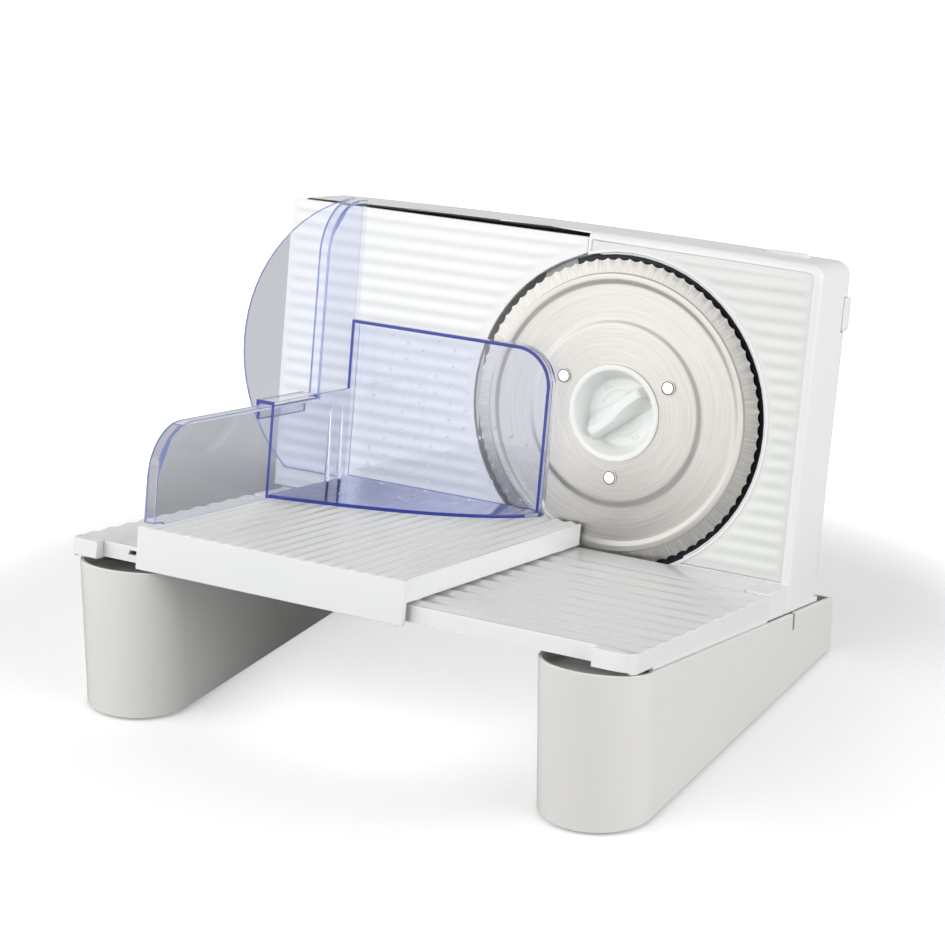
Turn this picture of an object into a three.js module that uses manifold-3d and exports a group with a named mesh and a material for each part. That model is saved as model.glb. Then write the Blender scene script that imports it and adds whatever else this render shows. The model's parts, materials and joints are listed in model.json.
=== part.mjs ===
// Electric food slicer: a tilted machine with a round blade, a sliding carriage and two hollow legs.
// Lengths are millimetres and angles degrees. In the machine's own axes x runs to the right along the blade,
// y to the rear along the blade's axle and z up from the table. The axle stands over x = 0, and y = 0 is the
// front of the stop plate. The machine leans back by TILT; the legs stand upright.

import * as THREE from 'three';
import { mergeVertices } from 'three/addons/utils/BufferGeometryUtils.js';
import Module from 'manifold-3d';

const wasm = await Module();
wasm.setup();

// Stance
const TILT = 10.2;
const TABLE_HEIGHT = 59.3;
const FIT = 0.3;

// Blade and its lock knob
const BLADE_RADIUS = 85;
const BLADE_SINK = 8;
const BLADE_SHEET = 1;
const BLADE_BEVEL = 7.5;
const BLADE_BEAD = 5;
const BLADE_STEP_RADIUS = 51;
const BLADE_FRONT = -1.4;
const BLADE_RELIEF = 0.9;
const KNOB_RADIUS = 26.6;
const KNOB_LIP = 1.6;
const KNOB_RIM = 0.9;
const KNOB_DEPTH = 13;
const KNOB_WALL = 2.2;
const KNOB_GRIP = 11;
const RIVET_CIRCLE = 36;
const RIVET_RADIUS = 4.2;
const RIVET_SHANK = 2;
const RIVET_ANGLES = [31, 153, 272];

// Worm drive
const GEAR_TEETH = 36;
const GEAR_RADIUS = 42;
const GEAR_FACE = 10;
const GEAR_SETBACK = 25;
const GEAR_FLANGE = 5;
const TOOTH_OUT = 1.5;
const TOOTH_IN = 2;
const TOOTH_THICKNESS = 2.8;
const TOOTH_SLOPE = 0.36;
const WORM_RADIUS = 7;
const WORM_TURNS = 3;
const SPINDLE_RADIUS = 6;
const BUSH_WALL = 2.7;
const DRIVE_PLATE = 3;
const MOTOR_RADIUS = 17.5;
const MOTOR_SHAFT = 2;
const BRACKET_SHEET = 1.2;
const SCREW_SHANK = 1.6;
const SCREW_HEAD = 3.4;

// Housing
const WALL = 2.5;
const HOUSING_MARGIN_RIGHT = 26;
const HOUSING_MARGIN_TOP = 10;
const HOUSING_OVERHANG = 0.5;
const HOUSING_DROP = 14;
const HOUSING_CROWN = 2.4;
const CAP_SHEET = 1.5;
const HOUSING_CORNER = 8;
const FRONT_ROUND = 4;
const REAR_ROUND = 6;
const WELL_GAP = 3;
const WELL_DEPTH = 4;
const RIB_PITCH = 8;
const RIB_HEIGHT = 1;
const RIB_BORDER = 7;
const RIB_TAPER = 7;
const PANEL_INSET = 5;
const PANEL_SHEET = 0.7;
const POST_WIDTH = 40;
const BEAM_HEIGHT = 22;
const SILL_HEIGHT = 16;
const COVER_POST_INSET = 40;
const COVER_POST_DROP = 45;
const COVER_POST_LOW = 32;
const POST_SCREW_LOW = 26;
const POST_SCREW_DROP = 24;
const VENT_LENGTH = 34;
const VENT_PITCH = 8;
const EAR_WIDTH = 13;
const EAR_REACH = 29;
const HINGE_PIN_RADIUS = 3;

// Stop plate and its thickness dial
const STOP_OVERHANG = 3.5;
const STOP_SHEET = 3.5;
const STOP_GAP = 4;
const STOP_TRAVEL = 15;
const STOP_SEAM = 26;
const GUIDE_ROD_RADIUS = 3;
const GUIDE_BUSH_WALL = 2.2;
const GUIDE_BUSH_LENGTH = 9;
const DIAL_RADIUS = 18;
const DIAL_HEIGHT = 14;
const DIAL_TURN = 270;
const DIAL_LEVEL = 85;
const CAM_RADIUS = 14;
const CAM_BORE = 8;
const FOLLOWER_WIDTH = 3;

// Buttons and switches
const POWER_LENGTH = 27;
const POWER_WIDTH = 11;
const POWER_PROUD = 1.2;
const POWER_INSET = 32.5;
const POWER_SETBACK = 16;
const POWER_TRAVEL = 2;
const SAFETY_LENGTH = 19;
const SAFETY_WIDTH = 10.4;
const SAFETY_PROUD = 1;
const SAFETY_TRAVEL = 2.5;
const SAFETY_DROP = 28.3;
const SAFETY_GAP = 6.6;
const SWITCH_HEIGHT = 16;
const BUTTON_LIP = 2;
const SPRING_RADIUS = 3.4;
const SPRING_WIRE = 0.35;
const SPRING_TURNS = 3;

// Base plate
const BASE_WIDTH = 326;
const BASE_OVERHANG = 1.5;
const BASE_REACH = 202;
const BASE_SHEET = 3.5;
const BASE_EDGE = 9.5;
const BASE_SKIRT = 18;
const BLOCK_RIGHT_WIDTH = 21.4;
const BLOCK_LEFT_WIDTH = 17.1;
const FASCIA_SETBACK = 6;
const TABLE_RIB_HEIGHT = 0.9;
const TABLE_RIB_PITCH = 16.4;
const BASE_CORNER = 5.5;
const STIFFENER_PITCH = 80;
const KEYHOLE_INSET = 16.4;
const KEYHOLE_WIDTH = 6;

// Carriage with its fence and food holder
const CARRIAGE_WIDTH = 159.5;
const CARRIAGE_MARGIN = 24.8;
const CARRIAGE_TOP = 13.5;
const CARRIAGE_SHEET = 3.8;
const CARRIAGE_SKIRT = 2.4;
const CARRIAGE_RIB_PITCH = 8.15;
const CARRIAGE_RIB_HEIGHT = 1;
const APRON_DROP = 10.3;
const APRON_SHEET = 3;
const FRONT_CLEARANCE = 4.6;
const FENCE_INSET = 7.3;
const FENCE_SHEET = 2;
const FENCE_FLANGE = 7;
const FENCE_HEIGHT = 51.7;
const FENCE_CORNER = 28;
const FIN_HEIGHT = 162;
const FIN_DEPTH = 38;
const FIN_CORNER = 30;
const GUARD_RADIUS = 94.5;
const GUARD_OFFSET = 18.5;
const GUARD_LEVEL = 85.5;
const HOLDER_WIDTH = 128.8;
const HOLDER_HEIGHT = 93.5;
const HOLDER_DEPTH = 88;
const HOLDER_SHEET = 2;
const HOLDER_CORNER = 22;
const HOLDER_FLANGE = 8;
const HOOK_DROP = 9;
const HOOK_LENGTH = 47;

// Legs
const LEG_WIDTH = 58.7;
const LEG_WALL = 2.2;
const LEG_PROUD = 2;
const LEG_FLOOR = 3;
const LEG_FRONT_OVERHANG = 7.8;
const LEG_REAR_OVERHANG = 16;
const RIM_DROP_FRONT = 11.4;
const RIM_DROP_REAR = 16.7;
const POST_RADIUS = 6.5;
const LEG_POST_FRONT = 140;
const LEG_POST_REAR = 20;
const LEG_BOSS_DROP = 12;
const LEG_SCREW_GRIP = 8;
const FOOT_REAR_INSET = 24;
const NOTCH_WIDTH = 3;
const NOTCH_DEPTH = 10;
const NOTCH_PLACE = 1;
const FOOT_RADIUS = 10;
const FOOT_PROUD = 1.5;
const FOOT_SEAT = 1.5;

// Places that follow from the sizes above
const bladeLevel = BLADE_RADIUS - BLADE_SINK;
const wellRadius = BLADE_RADIUS + WELL_GAP;
const stopArc = BLADE_RADIUS + STOP_GAP;
const gearTip = GEAR_RADIUS + TOOTH_OUT;
const gearRoot = GEAR_RADIUS - TOOTH_IN;
const wormLead = 2 * Math.PI * GEAR_RADIUS / GEAR_TEETH;
const motorX = GEAR_RADIUS + WORM_RADIUS;
const housingDepth = GEAR_SETBACK + MOTOR_RADIUS + BRACKET_SHEET + WALL + 0.8;
const housingRight = BLADE_RADIUS + HOUSING_MARGIN_RIGHT;
const baseRight = housingRight + BASE_OVERHANG;
const baseLeft = baseRight - BASE_WIDTH;
const baseMiddle = (baseLeft + baseRight) / 2;
const housingLeft = baseLeft - HOUSING_OVERHANG;
const housingTop = bladeLevel + BLADE_RADIUS + HOUSING_MARGIN_TOP;
const wellLeft = -gearTip - 8;
const blockLeft = -BLADE_RADIUS - 10;
const postRight = housingLeft + POST_WIDTH;
const recessDepth = STOP_TRAVEL + STOP_SHEET + 3.5;
const innerCover = housingDepth - WALL;
const carriageLeft = baseLeft + BLOCK_LEFT_WIDTH + CARRIAGE_MARGIN;
const carriageRight = carriageLeft + CARRIAGE_WIDTH;
const fenceFace = carriageLeft + FENCE_INSET;
const holderFloor = CARRIAGE_TOP + 0.7;
const holderLeft = fenceFace + 0.4;
const hookTop = CARRIAGE_TOP + FENCE_HEIGHT + 0.6;
const hubDepth = KNOB_DEPTH - 2;

// Finishes
const finish = (color, roughness, metalness = 0) => ({ color, roughness, metalness });
const WHITE = finish(0xe9e9e6, 0.35);
const CLEAR_BLUE = { ...finish(0x9aa4e0, 0.1), transparent: true, opacity: 0.45 };
const STEEL = finish(0xd5d2cc, 0.32, 1);
const DARK = finish(0x2a2b2e, 0.5);
const GREY = finish(0x8e9196, 0.45);
const ACETAL = finish(0xe2ddd0, 0.4);
const BRASS = finish(0xb9974f, 0.35, 1);
const ZINC = finish(0xa9acb0, 0.4, 1);
const RUBBER = finish(0x3a3a3c, 0.85);

const AXIS_X = new THREE.Vector3(1, 0, 0);
const AXIS_Y = new THREE.Vector3(0, 1, 0);
const AXIS_Z = new THREE.Vector3(0, 0, 1);
const radians = THREE.MathUtils.degToRad;

// A closed solid for joining and cutting, made from any closed geometry and turned face outwards
function solid(geometry) {
  const bare = geometry.clone();
  bare.deleteAttribute('normal');
  bare.deleteAttribute('uv');
  const merged = mergeVertices(bare, 1e-4);
  const points = merged.attributes.position.array;
  const corners = [];
  const source = merged.index.array;
  for (let i = 0; i < source.length; i += 3) {
    const [a, b, c] = [source[i], source[i + 1], source[i + 2]];
    if (a !== b && b !== c && c !== a) corners.push(a, b, c);
  }
  const corner = (i) => new THREE.Vector3().fromArray(points, corners[i] * 3);
  let volume = 0;
  for (let i = 0; i < corners.length; i += 3) {
    volume += corner(i).dot(corner(i + 1).cross(corner(i + 2)));
  }
  if (volume < 0) corners.reverse();
  const shell = { numProp: 3, vertProperties: new Float32Array(points), triVerts: new Uint32Array(corners) };
  return new wasm.Manifold(new wasm.Mesh(shell));
}

const join = (...pieces) => pieces.reduce((whole, piece) => whole.add(piece));
const cut = (piece, ...tools) => tools.reduce((rest, tool) => rest.subtract(tool), piece);

function block(x0, x1, y0, y1, z0, z1) {
  const geometry = new THREE.BoxGeometry(x1 - x0, y1 - y0, z1 - z0);
  return solid(geometry.translate((x0 + x1) / 2, (y0 + y1) / 2, (z0 + z1) / 2));
}

// An outline in x and z, made thick along y from one value to the other
function slabY(outline, y0, y1, curveSegments = 12) {
  const geometry = new THREE.ExtrudeGeometry(outline, { depth: y1 - y0, bevelEnabled: false, curveSegments });
  geometry.applyMatrix4(new THREE.Matrix4().makeBasis(AXIS_X, AXIS_Z, AXIS_Y.clone().negate()));
  return solid(geometry.translate(0, y1, 0));
}

// An outline in y and z, made thick along x
function slabX(outline, x0, x1, curveSegments = 12) {
  const geometry = new THREE.ExtrudeGeometry(outline, { depth: x1 - x0, bevelEnabled: false, curveSegments });
  geometry.applyMatrix4(new THREE.Matrix4().makeBasis(AXIS_Y, AXIS_Z, AXIS_X));
  return solid(geometry.translate(x0, 0, 0));
}

// An outline in x and y, made thick along z
function slabZ(outline, z0, z1, curveSegments = 12) {
  const geometry = new THREE.ExtrudeGeometry(outline, { depth: z1 - z0, bevelEnabled: false, curveSegments });
  return solid(geometry.translate(0, 0, z0));
}

function outlineOf(points) {
  return new THREE.Shape(points.map(([u, v]) => new THREE.Vector2(u, v)));
}

// A round piece turned about y, from pairs of radius and y, with its axle at x and z
function turnedY(profile, x, z, segments = 24) {
  const geometry = new THREE.LatheGeometry(profile.map(([r, y]) => new THREE.Vector2(r, y)), segments);
  return solid(geometry.translate(x, 0, z));
}

// The same turned about z, from pairs of radius and z
function turnedZ(profile, x, y, segments = 24) {
  const geometry = new THREE.LatheGeometry(profile.map(([r, z]) => new THREE.Vector2(r, z)), segments);
  return solid(geometry.rotateX(Math.PI / 2).translate(x, y, 0));
}

const drumY = (radius, y0, y1, x, z, segments = 24) =>
  turnedY([[0, y0], [radius, y0], [radius, y1], [0, y1]], x, z, segments);
const drumZ = (radius, z0, z1, x, y, segments = 24) =>
  turnedZ([[0, z0], [radius, z0], [radius, z1], [0, z1]], x, y, segments);
const tubeY = (inner, outer, y0, y1, x, z, segments = 24) =>
  turnedY([[inner, y0], [outer, y0], [outer, y1], [inner, y1], [inner, y0]], x, z, segments);

function drumX(radius, x0, x1, y, z, segments = 24) {
  const geometry = new THREE.CylinderGeometry(radius, radius, x1 - x0, segments);
  return solid(geometry.rotateZ(Math.PI / 2).translate((x0 + x1) / 2, y, z));
}

// A point on a circle round the blade's axle, counted from +x towards +z
function aroundBlade(radius, angle) {
  return [radius * Math.cos(radians(angle)), bladeLevel + radius * Math.sin(radians(angle))];
}

function mesh(name, piece, look) {
  const shell = piece.getMesh();
  const geometry = new THREE.BufferGeometry();
  geometry.setAttribute('position', new THREE.BufferAttribute(shell.vertProperties, 3));
  geometry.setIndex(new THREE.BufferAttribute(shell.triVerts, 1));
  geometry.computeVertexNormals();
  const made = new THREE.Mesh(geometry, new THREE.MeshStandardMaterial(look));
  made.name = name;
  return made;
}

// A closed skin over rings of points that all have the same count, capped at both ends
function loft(rings) {
  const count = rings[0].length;
  const faces = [];
  for (let i = 1; i < rings.length; i += 1) {
    for (let k = 0; k < count; k += 1) {
      const next = (k + 1) % count;
      const [a, b] = [(i - 1) * count, i * count];
      faces.push(a + k, b + k, b + next, a + k, b + next, a + next);
    }
  }
  const flat = (ring) => {
    const spread = [0, 1, 2].map((axis) => {
      const values = ring.map((point) => point[axis]);
      return Math.max(...values) - Math.min(...values);
    });
    const thin = spread.indexOf(Math.min(...spread));
    return ring.map((point) => new THREE.Vector2(...point.filter((_, axis) => axis !== thin)));
  };
  const capOf = (ring, start, turned) => {
    for (const [a, b, c] of THREE.ShapeUtils.triangulateShape(flat(ring), [])) {
      faces.push(start + a, start + (turned ? c : b), start + (turned ? b : c));
    }
  };
  const last = rings.length - 1;
  const sideways = THREE.ShapeUtils.area(flat(rings[0])) > 0;
  capOf(rings[0], 0, !sideways);
  capOf(rings[last], last * count, sideways);
  const geometry = new THREE.BufferGeometry();
  geometry.setAttribute('position', new THREE.Float32BufferAttribute(rings.flat(2), 3));
  geometry.setIndex(faces);
  return geometry;
}

// Raised horizontal ribs on a panel that faces the front; each runs between the two ends given for its height
function panelRibs(z0, z1, endsAt) {
  const half = RIB_PITCH * 0.46;
  const count = Math.floor((z1 - z0) / RIB_PITCH);
  const profile = [[-1, 0], [-0.6, 0.62], [0, 1], [0.6, 0.62], [1, 0]];
  const bars = [];
  for (let i = 0; i < count; i += 1) {
    const z = z0 + RIB_PITCH * (i + 0.5);
    const [from, to] = endsAt(z);
    if (to - from < 3 * RIB_TAPER) continue;
    const stations = [[from, 0.08], [from + RIB_TAPER, 1], [to - RIB_TAPER, 1], [to, 0.08]];
    bars.push(solid(loft(stations.map(([x, scale]) => [
      ...profile.map(([side, height]) => [x, RIB_HEIGHT * (1 - height * scale), z + half * side]),
      [x, RIB_HEIGHT + 0.4, z + half],
      [x, RIB_HEIGHT + 0.4, z - half],
    ]))));
  }
  return join(...bars);
}

// How far a circle round the blade's axle reaches to the side at a height
function rimReach(radius, z) {
  return Math.sqrt(Math.max(0, radius ** 2 - (z - bladeLevel) ** 2));
}

// The housing's height above the table at a place along x
function crownLevel(x, inset = 0) {
  const middle = (housingLeft + housingRight) / 2;
  const share = (x - middle) / (housingRight - middle);
  return housingTop + HOUSING_CROWN * (1 - share * share) - inset;
}

// The housing's front outline, with a gently crowned top and round upper corners, moved in by an inset
function housingOutline(inset) {
  const left = housingLeft + inset;
  const right = housingRight - inset;
  const corner = HOUSING_CORNER - Math.min(inset, HOUSING_CORNER - 1);
  const shape = new THREE.Shape();
  shape.moveTo(left, -HOUSING_DROP + inset);
  shape.lineTo(right, -HOUSING_DROP + inset);
  const rightTop = crownLevel(right - corner, inset);
  const leftTop = crownLevel(left + corner, inset);
  shape.lineTo(right, rightTop - corner);
  shape.absarc(right - corner, rightTop - corner, corner, 0, Math.PI / 2);
  const steps = 10;
  for (let i = 1; i < steps; i += 1) {
    const x = right - corner - (right - left - 2 * corner) * i / steps;
    shape.lineTo(x, crownLevel(x, inset));
  }
  shape.lineTo(left + corner, leftTop);
  shape.absarc(left + corner, leftTop - corner, corner, Math.PI / 2, Math.PI);
  return shape;
}

// The housing as a solid block with rounded front and rear edges
function housingEnvelope() {
  const steps = 3;
  const stations = [];
  for (let i = 0; i <= steps; i += 1) {
    const turn = Math.PI / 2 * i / steps;
    stations.push([FRONT_ROUND * (1 - Math.cos(turn)), FRONT_ROUND * (1 - Math.sin(turn))]);
  }
  for (let i = steps; i >= 0; i -= 1) {
    const turn = Math.PI / 2 * i / steps;
    stations.push([housingDepth - REAR_ROUND * (1 - Math.cos(turn)), REAR_ROUND * (1 - Math.sin(turn))]);
  }
  const ringAt = ([y, inset]) => {
    const points = housingOutline(inset).getPoints(4);
    if (points[0].equals(points[points.length - 1])) points.pop();
    return points.map((point) => [point.x, y, point.y]);
  };
  return solid(loft(stations.map(ringAt)));
}

// Screw bosses for the drive plate, round the blade's axle, and for the rear cover, near its corners
const drivePosts = [68, 130, 230, 292].map((angle) => aroundBlade(gearTip + 14, angle));
const coverPosts = [
  [blockLeft + 9, housingTop - 9, recessDepth + 1],
  [housingRight - COVER_POST_INSET, housingTop - COVER_POST_DROP, WELL_DEPTH + 1],
  [blockLeft + 9, -2, recessDepth + 1],
  [housingRight - 9, COVER_POST_LOW, WALL],
];
const postScrews = [POST_SCREW_LOW, housingTop - POST_SCREW_DROP].map((z) =>
  [(housingLeft + postRight) / 2, z]);
const dialX = (housingLeft + postRight) / 2;
const guideX = (postRight + blockLeft) / 2;
const guideLevels = [housingTop - 13, SILL_HEIGHT / 2];
const guideHole = GUIDE_ROD_RADIUS + FIT + GUIDE_BUSH_WALL + FIT;
const camFront = recessDepth + WALL + 1;
const camRate = STOP_TRAVEL / DIAL_TURN;
const camMargin = 12;
const camBack = camFront + STOP_TRAVEL + 1.5;
const powerX = housingRight - POWER_INSET;
const powerY = housingDepth - POWER_SETBACK;
const powerTop = crownLevel(powerX);
const safetyZ = housingTop - SAFETY_DROP;
const safetyY = housingDepth - SAFETY_WIDTH / 2;
const hingeY = -EAR_REACH / 2;
const hingeZ = -HOUSING_DROP / 2;
const earInnerRight = housingRight - EAR_WIDTH - 0.4;
const earInnerLeft = housingLeft + 2 + EAR_WIDTH + 0.4;
const legCentres = {
  left: baseLeft - LEG_PROUD + LEG_WIDTH / 2,
  right: baseRight + LEG_PROUD - LEG_WIDTH / 2,
};
const legPostPlaces = [{ y: -LEG_POST_FRONT, z: -LEG_BOSS_DROP }, { y: LEG_POST_REAR, z: -HOUSING_DROP }];
const legScrewGrip = LEG_SCREW_GRIP;

// A racetrack outline with its long side along the first axis
function racetrack(u, v, length, width) {
  const half = (length - width) / 2;
  const shape = new THREE.Shape();
  shape.absarc(u + half, v, width / 2, -Math.PI / 2, Math.PI / 2);
  shape.absarc(u - half, v, width / 2, Math.PI / 2, 3 * Math.PI / 2);
  return shape;
}

// The outline of the ribbed front panel: inside the housing's rounded edge and clear of the blade's well
function panelPlate(inset, y0, y1) {
  const left = -STOP_SEAM + FIT + 2 + inset;
  const shape = slabY(housingOutline(PANEL_INSET + inset), y0, y1);
  const kept = block(left, housingRight, y0 - 1, y1 + 1, 0.8 + inset, housingTop + 20);
  return cut(shape.intersect(kept), drumY(wellRadius + 2 + inset, y0 - 1, y1 + 1, 0, bladeLevel, 64));
}

function frontPanel() {
  const ribs = panelRibs(2, housingTop - PANEL_INSET - 2, (z) => [
    Math.max(-STOP_SEAM + 5, rimReach(wellRadius + RIB_BORDER, z)), housingRight - PANEL_INSET - 3]);
  return join(panelPlate(0, RIB_HEIGHT, RIB_HEIGHT + PANEL_SHEET), ribs);
}

function motorHousing() {
  const depth = housingDepth;
  const inside = housingOutline(WALL);
  const envelope = housingEnvelope();
  const rightHalf = block(blockLeft + WALL, housingRight, -1, depth + 1, -HOUSING_DROP, housingTop + 20);
  const leftPost = block(housingLeft, postRight - WALL, -1, depth + 1, -HOUSING_DROP, housingTop + 20);
  const recessOutline = outlineOf([
    [housingLeft - 1, 0.5],
    [-STOP_SEAM + FIT, 0.5],
    [-STOP_SEAM + FIT, crownLevel(-STOP_SEAM, CAP_SHEET)],
    [(housingLeft - STOP_SEAM) / 2, crownLevel((housingLeft - STOP_SEAM) / 2, CAP_SHEET)],
    [housingLeft - 1, crownLevel(housingLeft, CAP_SHEET)],
  ]);
  const wellDrum = drumY(wellRadius + 0.6, -2, depth, 0, bladeLevel, 64);
  const rightOfWell = block(wellLeft, housingRight, -2, depth, -HOUSING_DROP - 1, housingTop);
  const recess = cut(slabY(recessOutline, -1, recessDepth), wellDrum.intersect(rightOfWell));
  const recessWalls = cut(
    block(blockLeft, -STOP_SEAM + FIT + WALL, -1, recessDepth + WALL, 0.5 - WALL, housingTop + 20),
    drumY(wellRadius - WALL + 0.6, -2, depth, 0, bladeLevel, 64).intersect(
      block(wellLeft + WALL, housingRight, -2, depth, -HOUSING_DROP, housingTop)));
  const frontLip = block(housingLeft - 1, -STOP_SEAM + FIT, -1, 2, housingTop / 2, housingTop + 20);
  const window = block(postRight, blockLeft, 0, depth + 1, SILL_HEIGHT, housingTop - BEAM_HEIGHT);
  const beamHollow = block(
    postRight + WALL, blockLeft - WALL, recessDepth + WALL, innerCover,
    housingTop - BEAM_HEIGHT - 1, housingTop - WALL);
  const sillHollow = block(
    postRight + WALL, blockLeft - WALL, recessDepth + WALL, innerCover,
    -HOUSING_DROP - 1, SILL_HEIGHT - WALL);
  const sillFront = block(
    postRight + WALL, blockLeft - WALL, WALL, recessDepth, -HOUSING_DROP - 1, 0.5 - WALL);
  const floorBack = WELL_DEPTH + WALL;
  const mouth = slabY(housingOutline(REAR_ROUND), innerCover - 4, depth + 1);
  const blockHollow = cut(
    join(slabY(inside, floorBack, innerCover - 0.2), mouth).intersect(rightHalf), recessWalls);
  const ringWall = drumY(wellRadius + WALL, 0, floorBack + 1, 0, bladeLevel, 64);
  const panelHollow = cut(
    slabY(inside, WALL + 1, floorBack + 0.5).intersect(
      block(-STOP_SEAM + FIT + WALL, housingRight, 0, depth, -HOUSING_DROP, housingTop + 20)),
    ringWall);
  const postHollow = join(slabY(inside, recessDepth + WALL, innerCover - 0.2), mouth).intersect(leftPost);
  const well = drumY(wellRadius, -1, WELL_DEPTH, 0, bladeLevel, 64);
  const hubHole = drumY(gearTip + 3, 0, floorBack + 1, 0, bladeLevel, 40);
  const follower = block(
    dialX - FOLLOWER_WIDTH, dialX + FOLLOWER_WIDTH, recessDepth - 1, recessDepth + WALL + 1,
    DIAL_LEVEL + CAM_BORE - 2, DIAL_LEVEL + CAM_RADIUS + 2);
  const guideHoles = guideLevels.map((z) =>
    drumY(guideHole, recessDepth - 1, recessDepth + WALL + 1, guideX, z, 16));
  const panelRoom = panelPlate(-FIT, -1, RIB_HEIGHT + PANEL_SHEET + FIT);
  const powerSlot = slabZ(
    racetrack(powerX, powerY, POWER_LENGTH + 2 * FIT, POWER_WIDTH + 2 * FIT),
    housingTop - 8, housingTop + 20);
  const safetySlot = block(
    housingRight - WALL - SAFETY_TRAVEL - 1, housingRight + 1, safetyY - SAFETY_WIDTH / 2 - FIT, depth + 1,
    safetyZ - SAFETY_LENGTH / 2 - FIT, safetyZ + SAFETY_LENGTH / 2 + FIT);
  const shell = cut(
    envelope, recess, frontLip, window, beamHollow, sillHollow, sillFront,
    blockHollow, panelHollow, postHollow, well, hubHole, follower, ...guideHoles,
    panelRoom, powerSlot, safetySlot);

  const shelfFront = WALL;
  const powerShelf = block(
    powerX - 10, powerX + 10, shelfFront, powerY + 10,
    powerTop - SWITCH_HEIGHT - 15, powerTop - SWITCH_HEIGHT - 12.5);
  const safetyShelf = block(
    housingRight - 21.5, housingRight - 8, shelfFront, safetyY + 1, safetyZ - 9.5, safetyZ - 7);
  const bosses = drivePosts.map(([x, z]) => drumY(4.5, floorBack - 1, driveFront - FIT, x, z, 12));
  const coverBosses = coverPosts.map(([x, z, root]) => drumY(4, root, innerCover - FIT, x, z, 12));
  const postBosses = postScrews.map(([x, z]) => drumY(4, recessDepth + 1, innerCover - FIT, x, z, 12));
  const ears = [housingRight - EAR_WIDTH, housingLeft + 2].map((x) =>
    block(x, x + EAR_WIDTH, -EAR_REACH, 1, -HOUSING_DROP, 0));
  const legBosses = Object.values(legCentres).map((x) =>
    drumZ(5, -HOUSING_DROP + 0.5, -HOUSING_DROP + legScrewGrip + 4, x, legPostPlaces[1].y, 12));
  const body = join(
    shell, powerShelf, safetyShelf, ...bosses, ...coverBosses, ...postBosses, ...ears, ...legBosses);

  const pilots = [
    ...drivePosts.map(([x, z]) => drumY(SCREW_SHANK + FIT, driveFront - 14, driveFront, x, z, 10)),
    ...coverPosts.map(([x, z]) => drumY(SCREW_SHANK + FIT, innerCover - 14, innerCover, x, z, 10)),
    ...postScrews.map(([x, z]) => drumY(SCREW_SHANK + FIT, innerCover - 14, innerCover, x, z, 10)),
    ...Object.values(legCentres).map((x) => drumZ(
      SCREW_SHANK + FIT, -HOUSING_DROP - 1, -HOUSING_DROP + legScrewGrip + 1, x, legPostPlaces[1].y, 10)),
    drumX(HINGE_PIN_RADIUS + FIT, earInnerRight, housingRight - WALL, hingeY, hingeZ, 14),
    drumX(HINGE_PIN_RADIUS + FIT, housingLeft + 2 + WALL, earInnerLeft, hingeY, hingeZ, 14),
  ];
  return cut(body, ...pilots);
}

// A cover that fills part of the housing's open back
function backCover(x0, x1, screws, holes) {
  const plate = slabY(housingOutline(REAR_ROUND + FIT), innerCover, housingDepth).intersect(
    block(x0, x1, 0, housingDepth + 1, -HOUSING_DROP, housingTop + 20));
  const screwHoles = screws.map(([x, z]) =>
    drumY(SCREW_SHANK + FIT, innerCover - 1, housingDepth + 1, x, z, 10));
  return cut(plate, ...screwHoles, ...holes);
}

const glandPlace = [housingRight - 28, 8];
const glandRadius = 6;

function rearCover() {
  const vents = Array.from({ length: 7 }, (_, i) => {
    const z = -4 + VENT_PITCH * i;
    return slabY(racetrack(motorX, z, VENT_LENGTH, 3), innerCover - 1, housingDepth + 1, 3);
  });
  const gland = drumY(glandRadius + FIT, innerCover - 1, housingDepth + 1, ...glandPlace, 16);
  const safetyRoom = block(
    housingRight - WALL - SAFETY_TRAVEL - 1, housingRight, innerCover - 1, housingDepth + 1,
    safetyZ - SAFETY_LENGTH / 2 - 0.5, safetyZ + SAFETY_LENGTH / 2 + 0.5);
  return backCover(blockLeft + WALL + FIT, housingRight, coverPosts, [...vents, gland, safetyRoom]);
}

const dialShaft = 5;

function postCover() {
  const shaftHole = drumY(dialShaft + FIT, innerCover - 1, housingDepth + 1, dialX, DIAL_LEVEL, 20);
  return backCover(housingLeft, postRight - WALL - FIT, postScrews, [shaftHole]);
}

function screwY(x, z, back, grip) {
  const head = 2;
  return turnedY([
    [0, back + FIT + head],
    [SCREW_HEAD * 0.8, back + FIT + head],
    [SCREW_HEAD, back + FIT + head * 0.6],
    [SCREW_HEAD, back + FIT],
    [SCREW_SHANK, back + FIT],
    [SCREW_SHANK, back - grip],
    [0, back - grip],
  ], x, z, 10);
}

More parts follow.
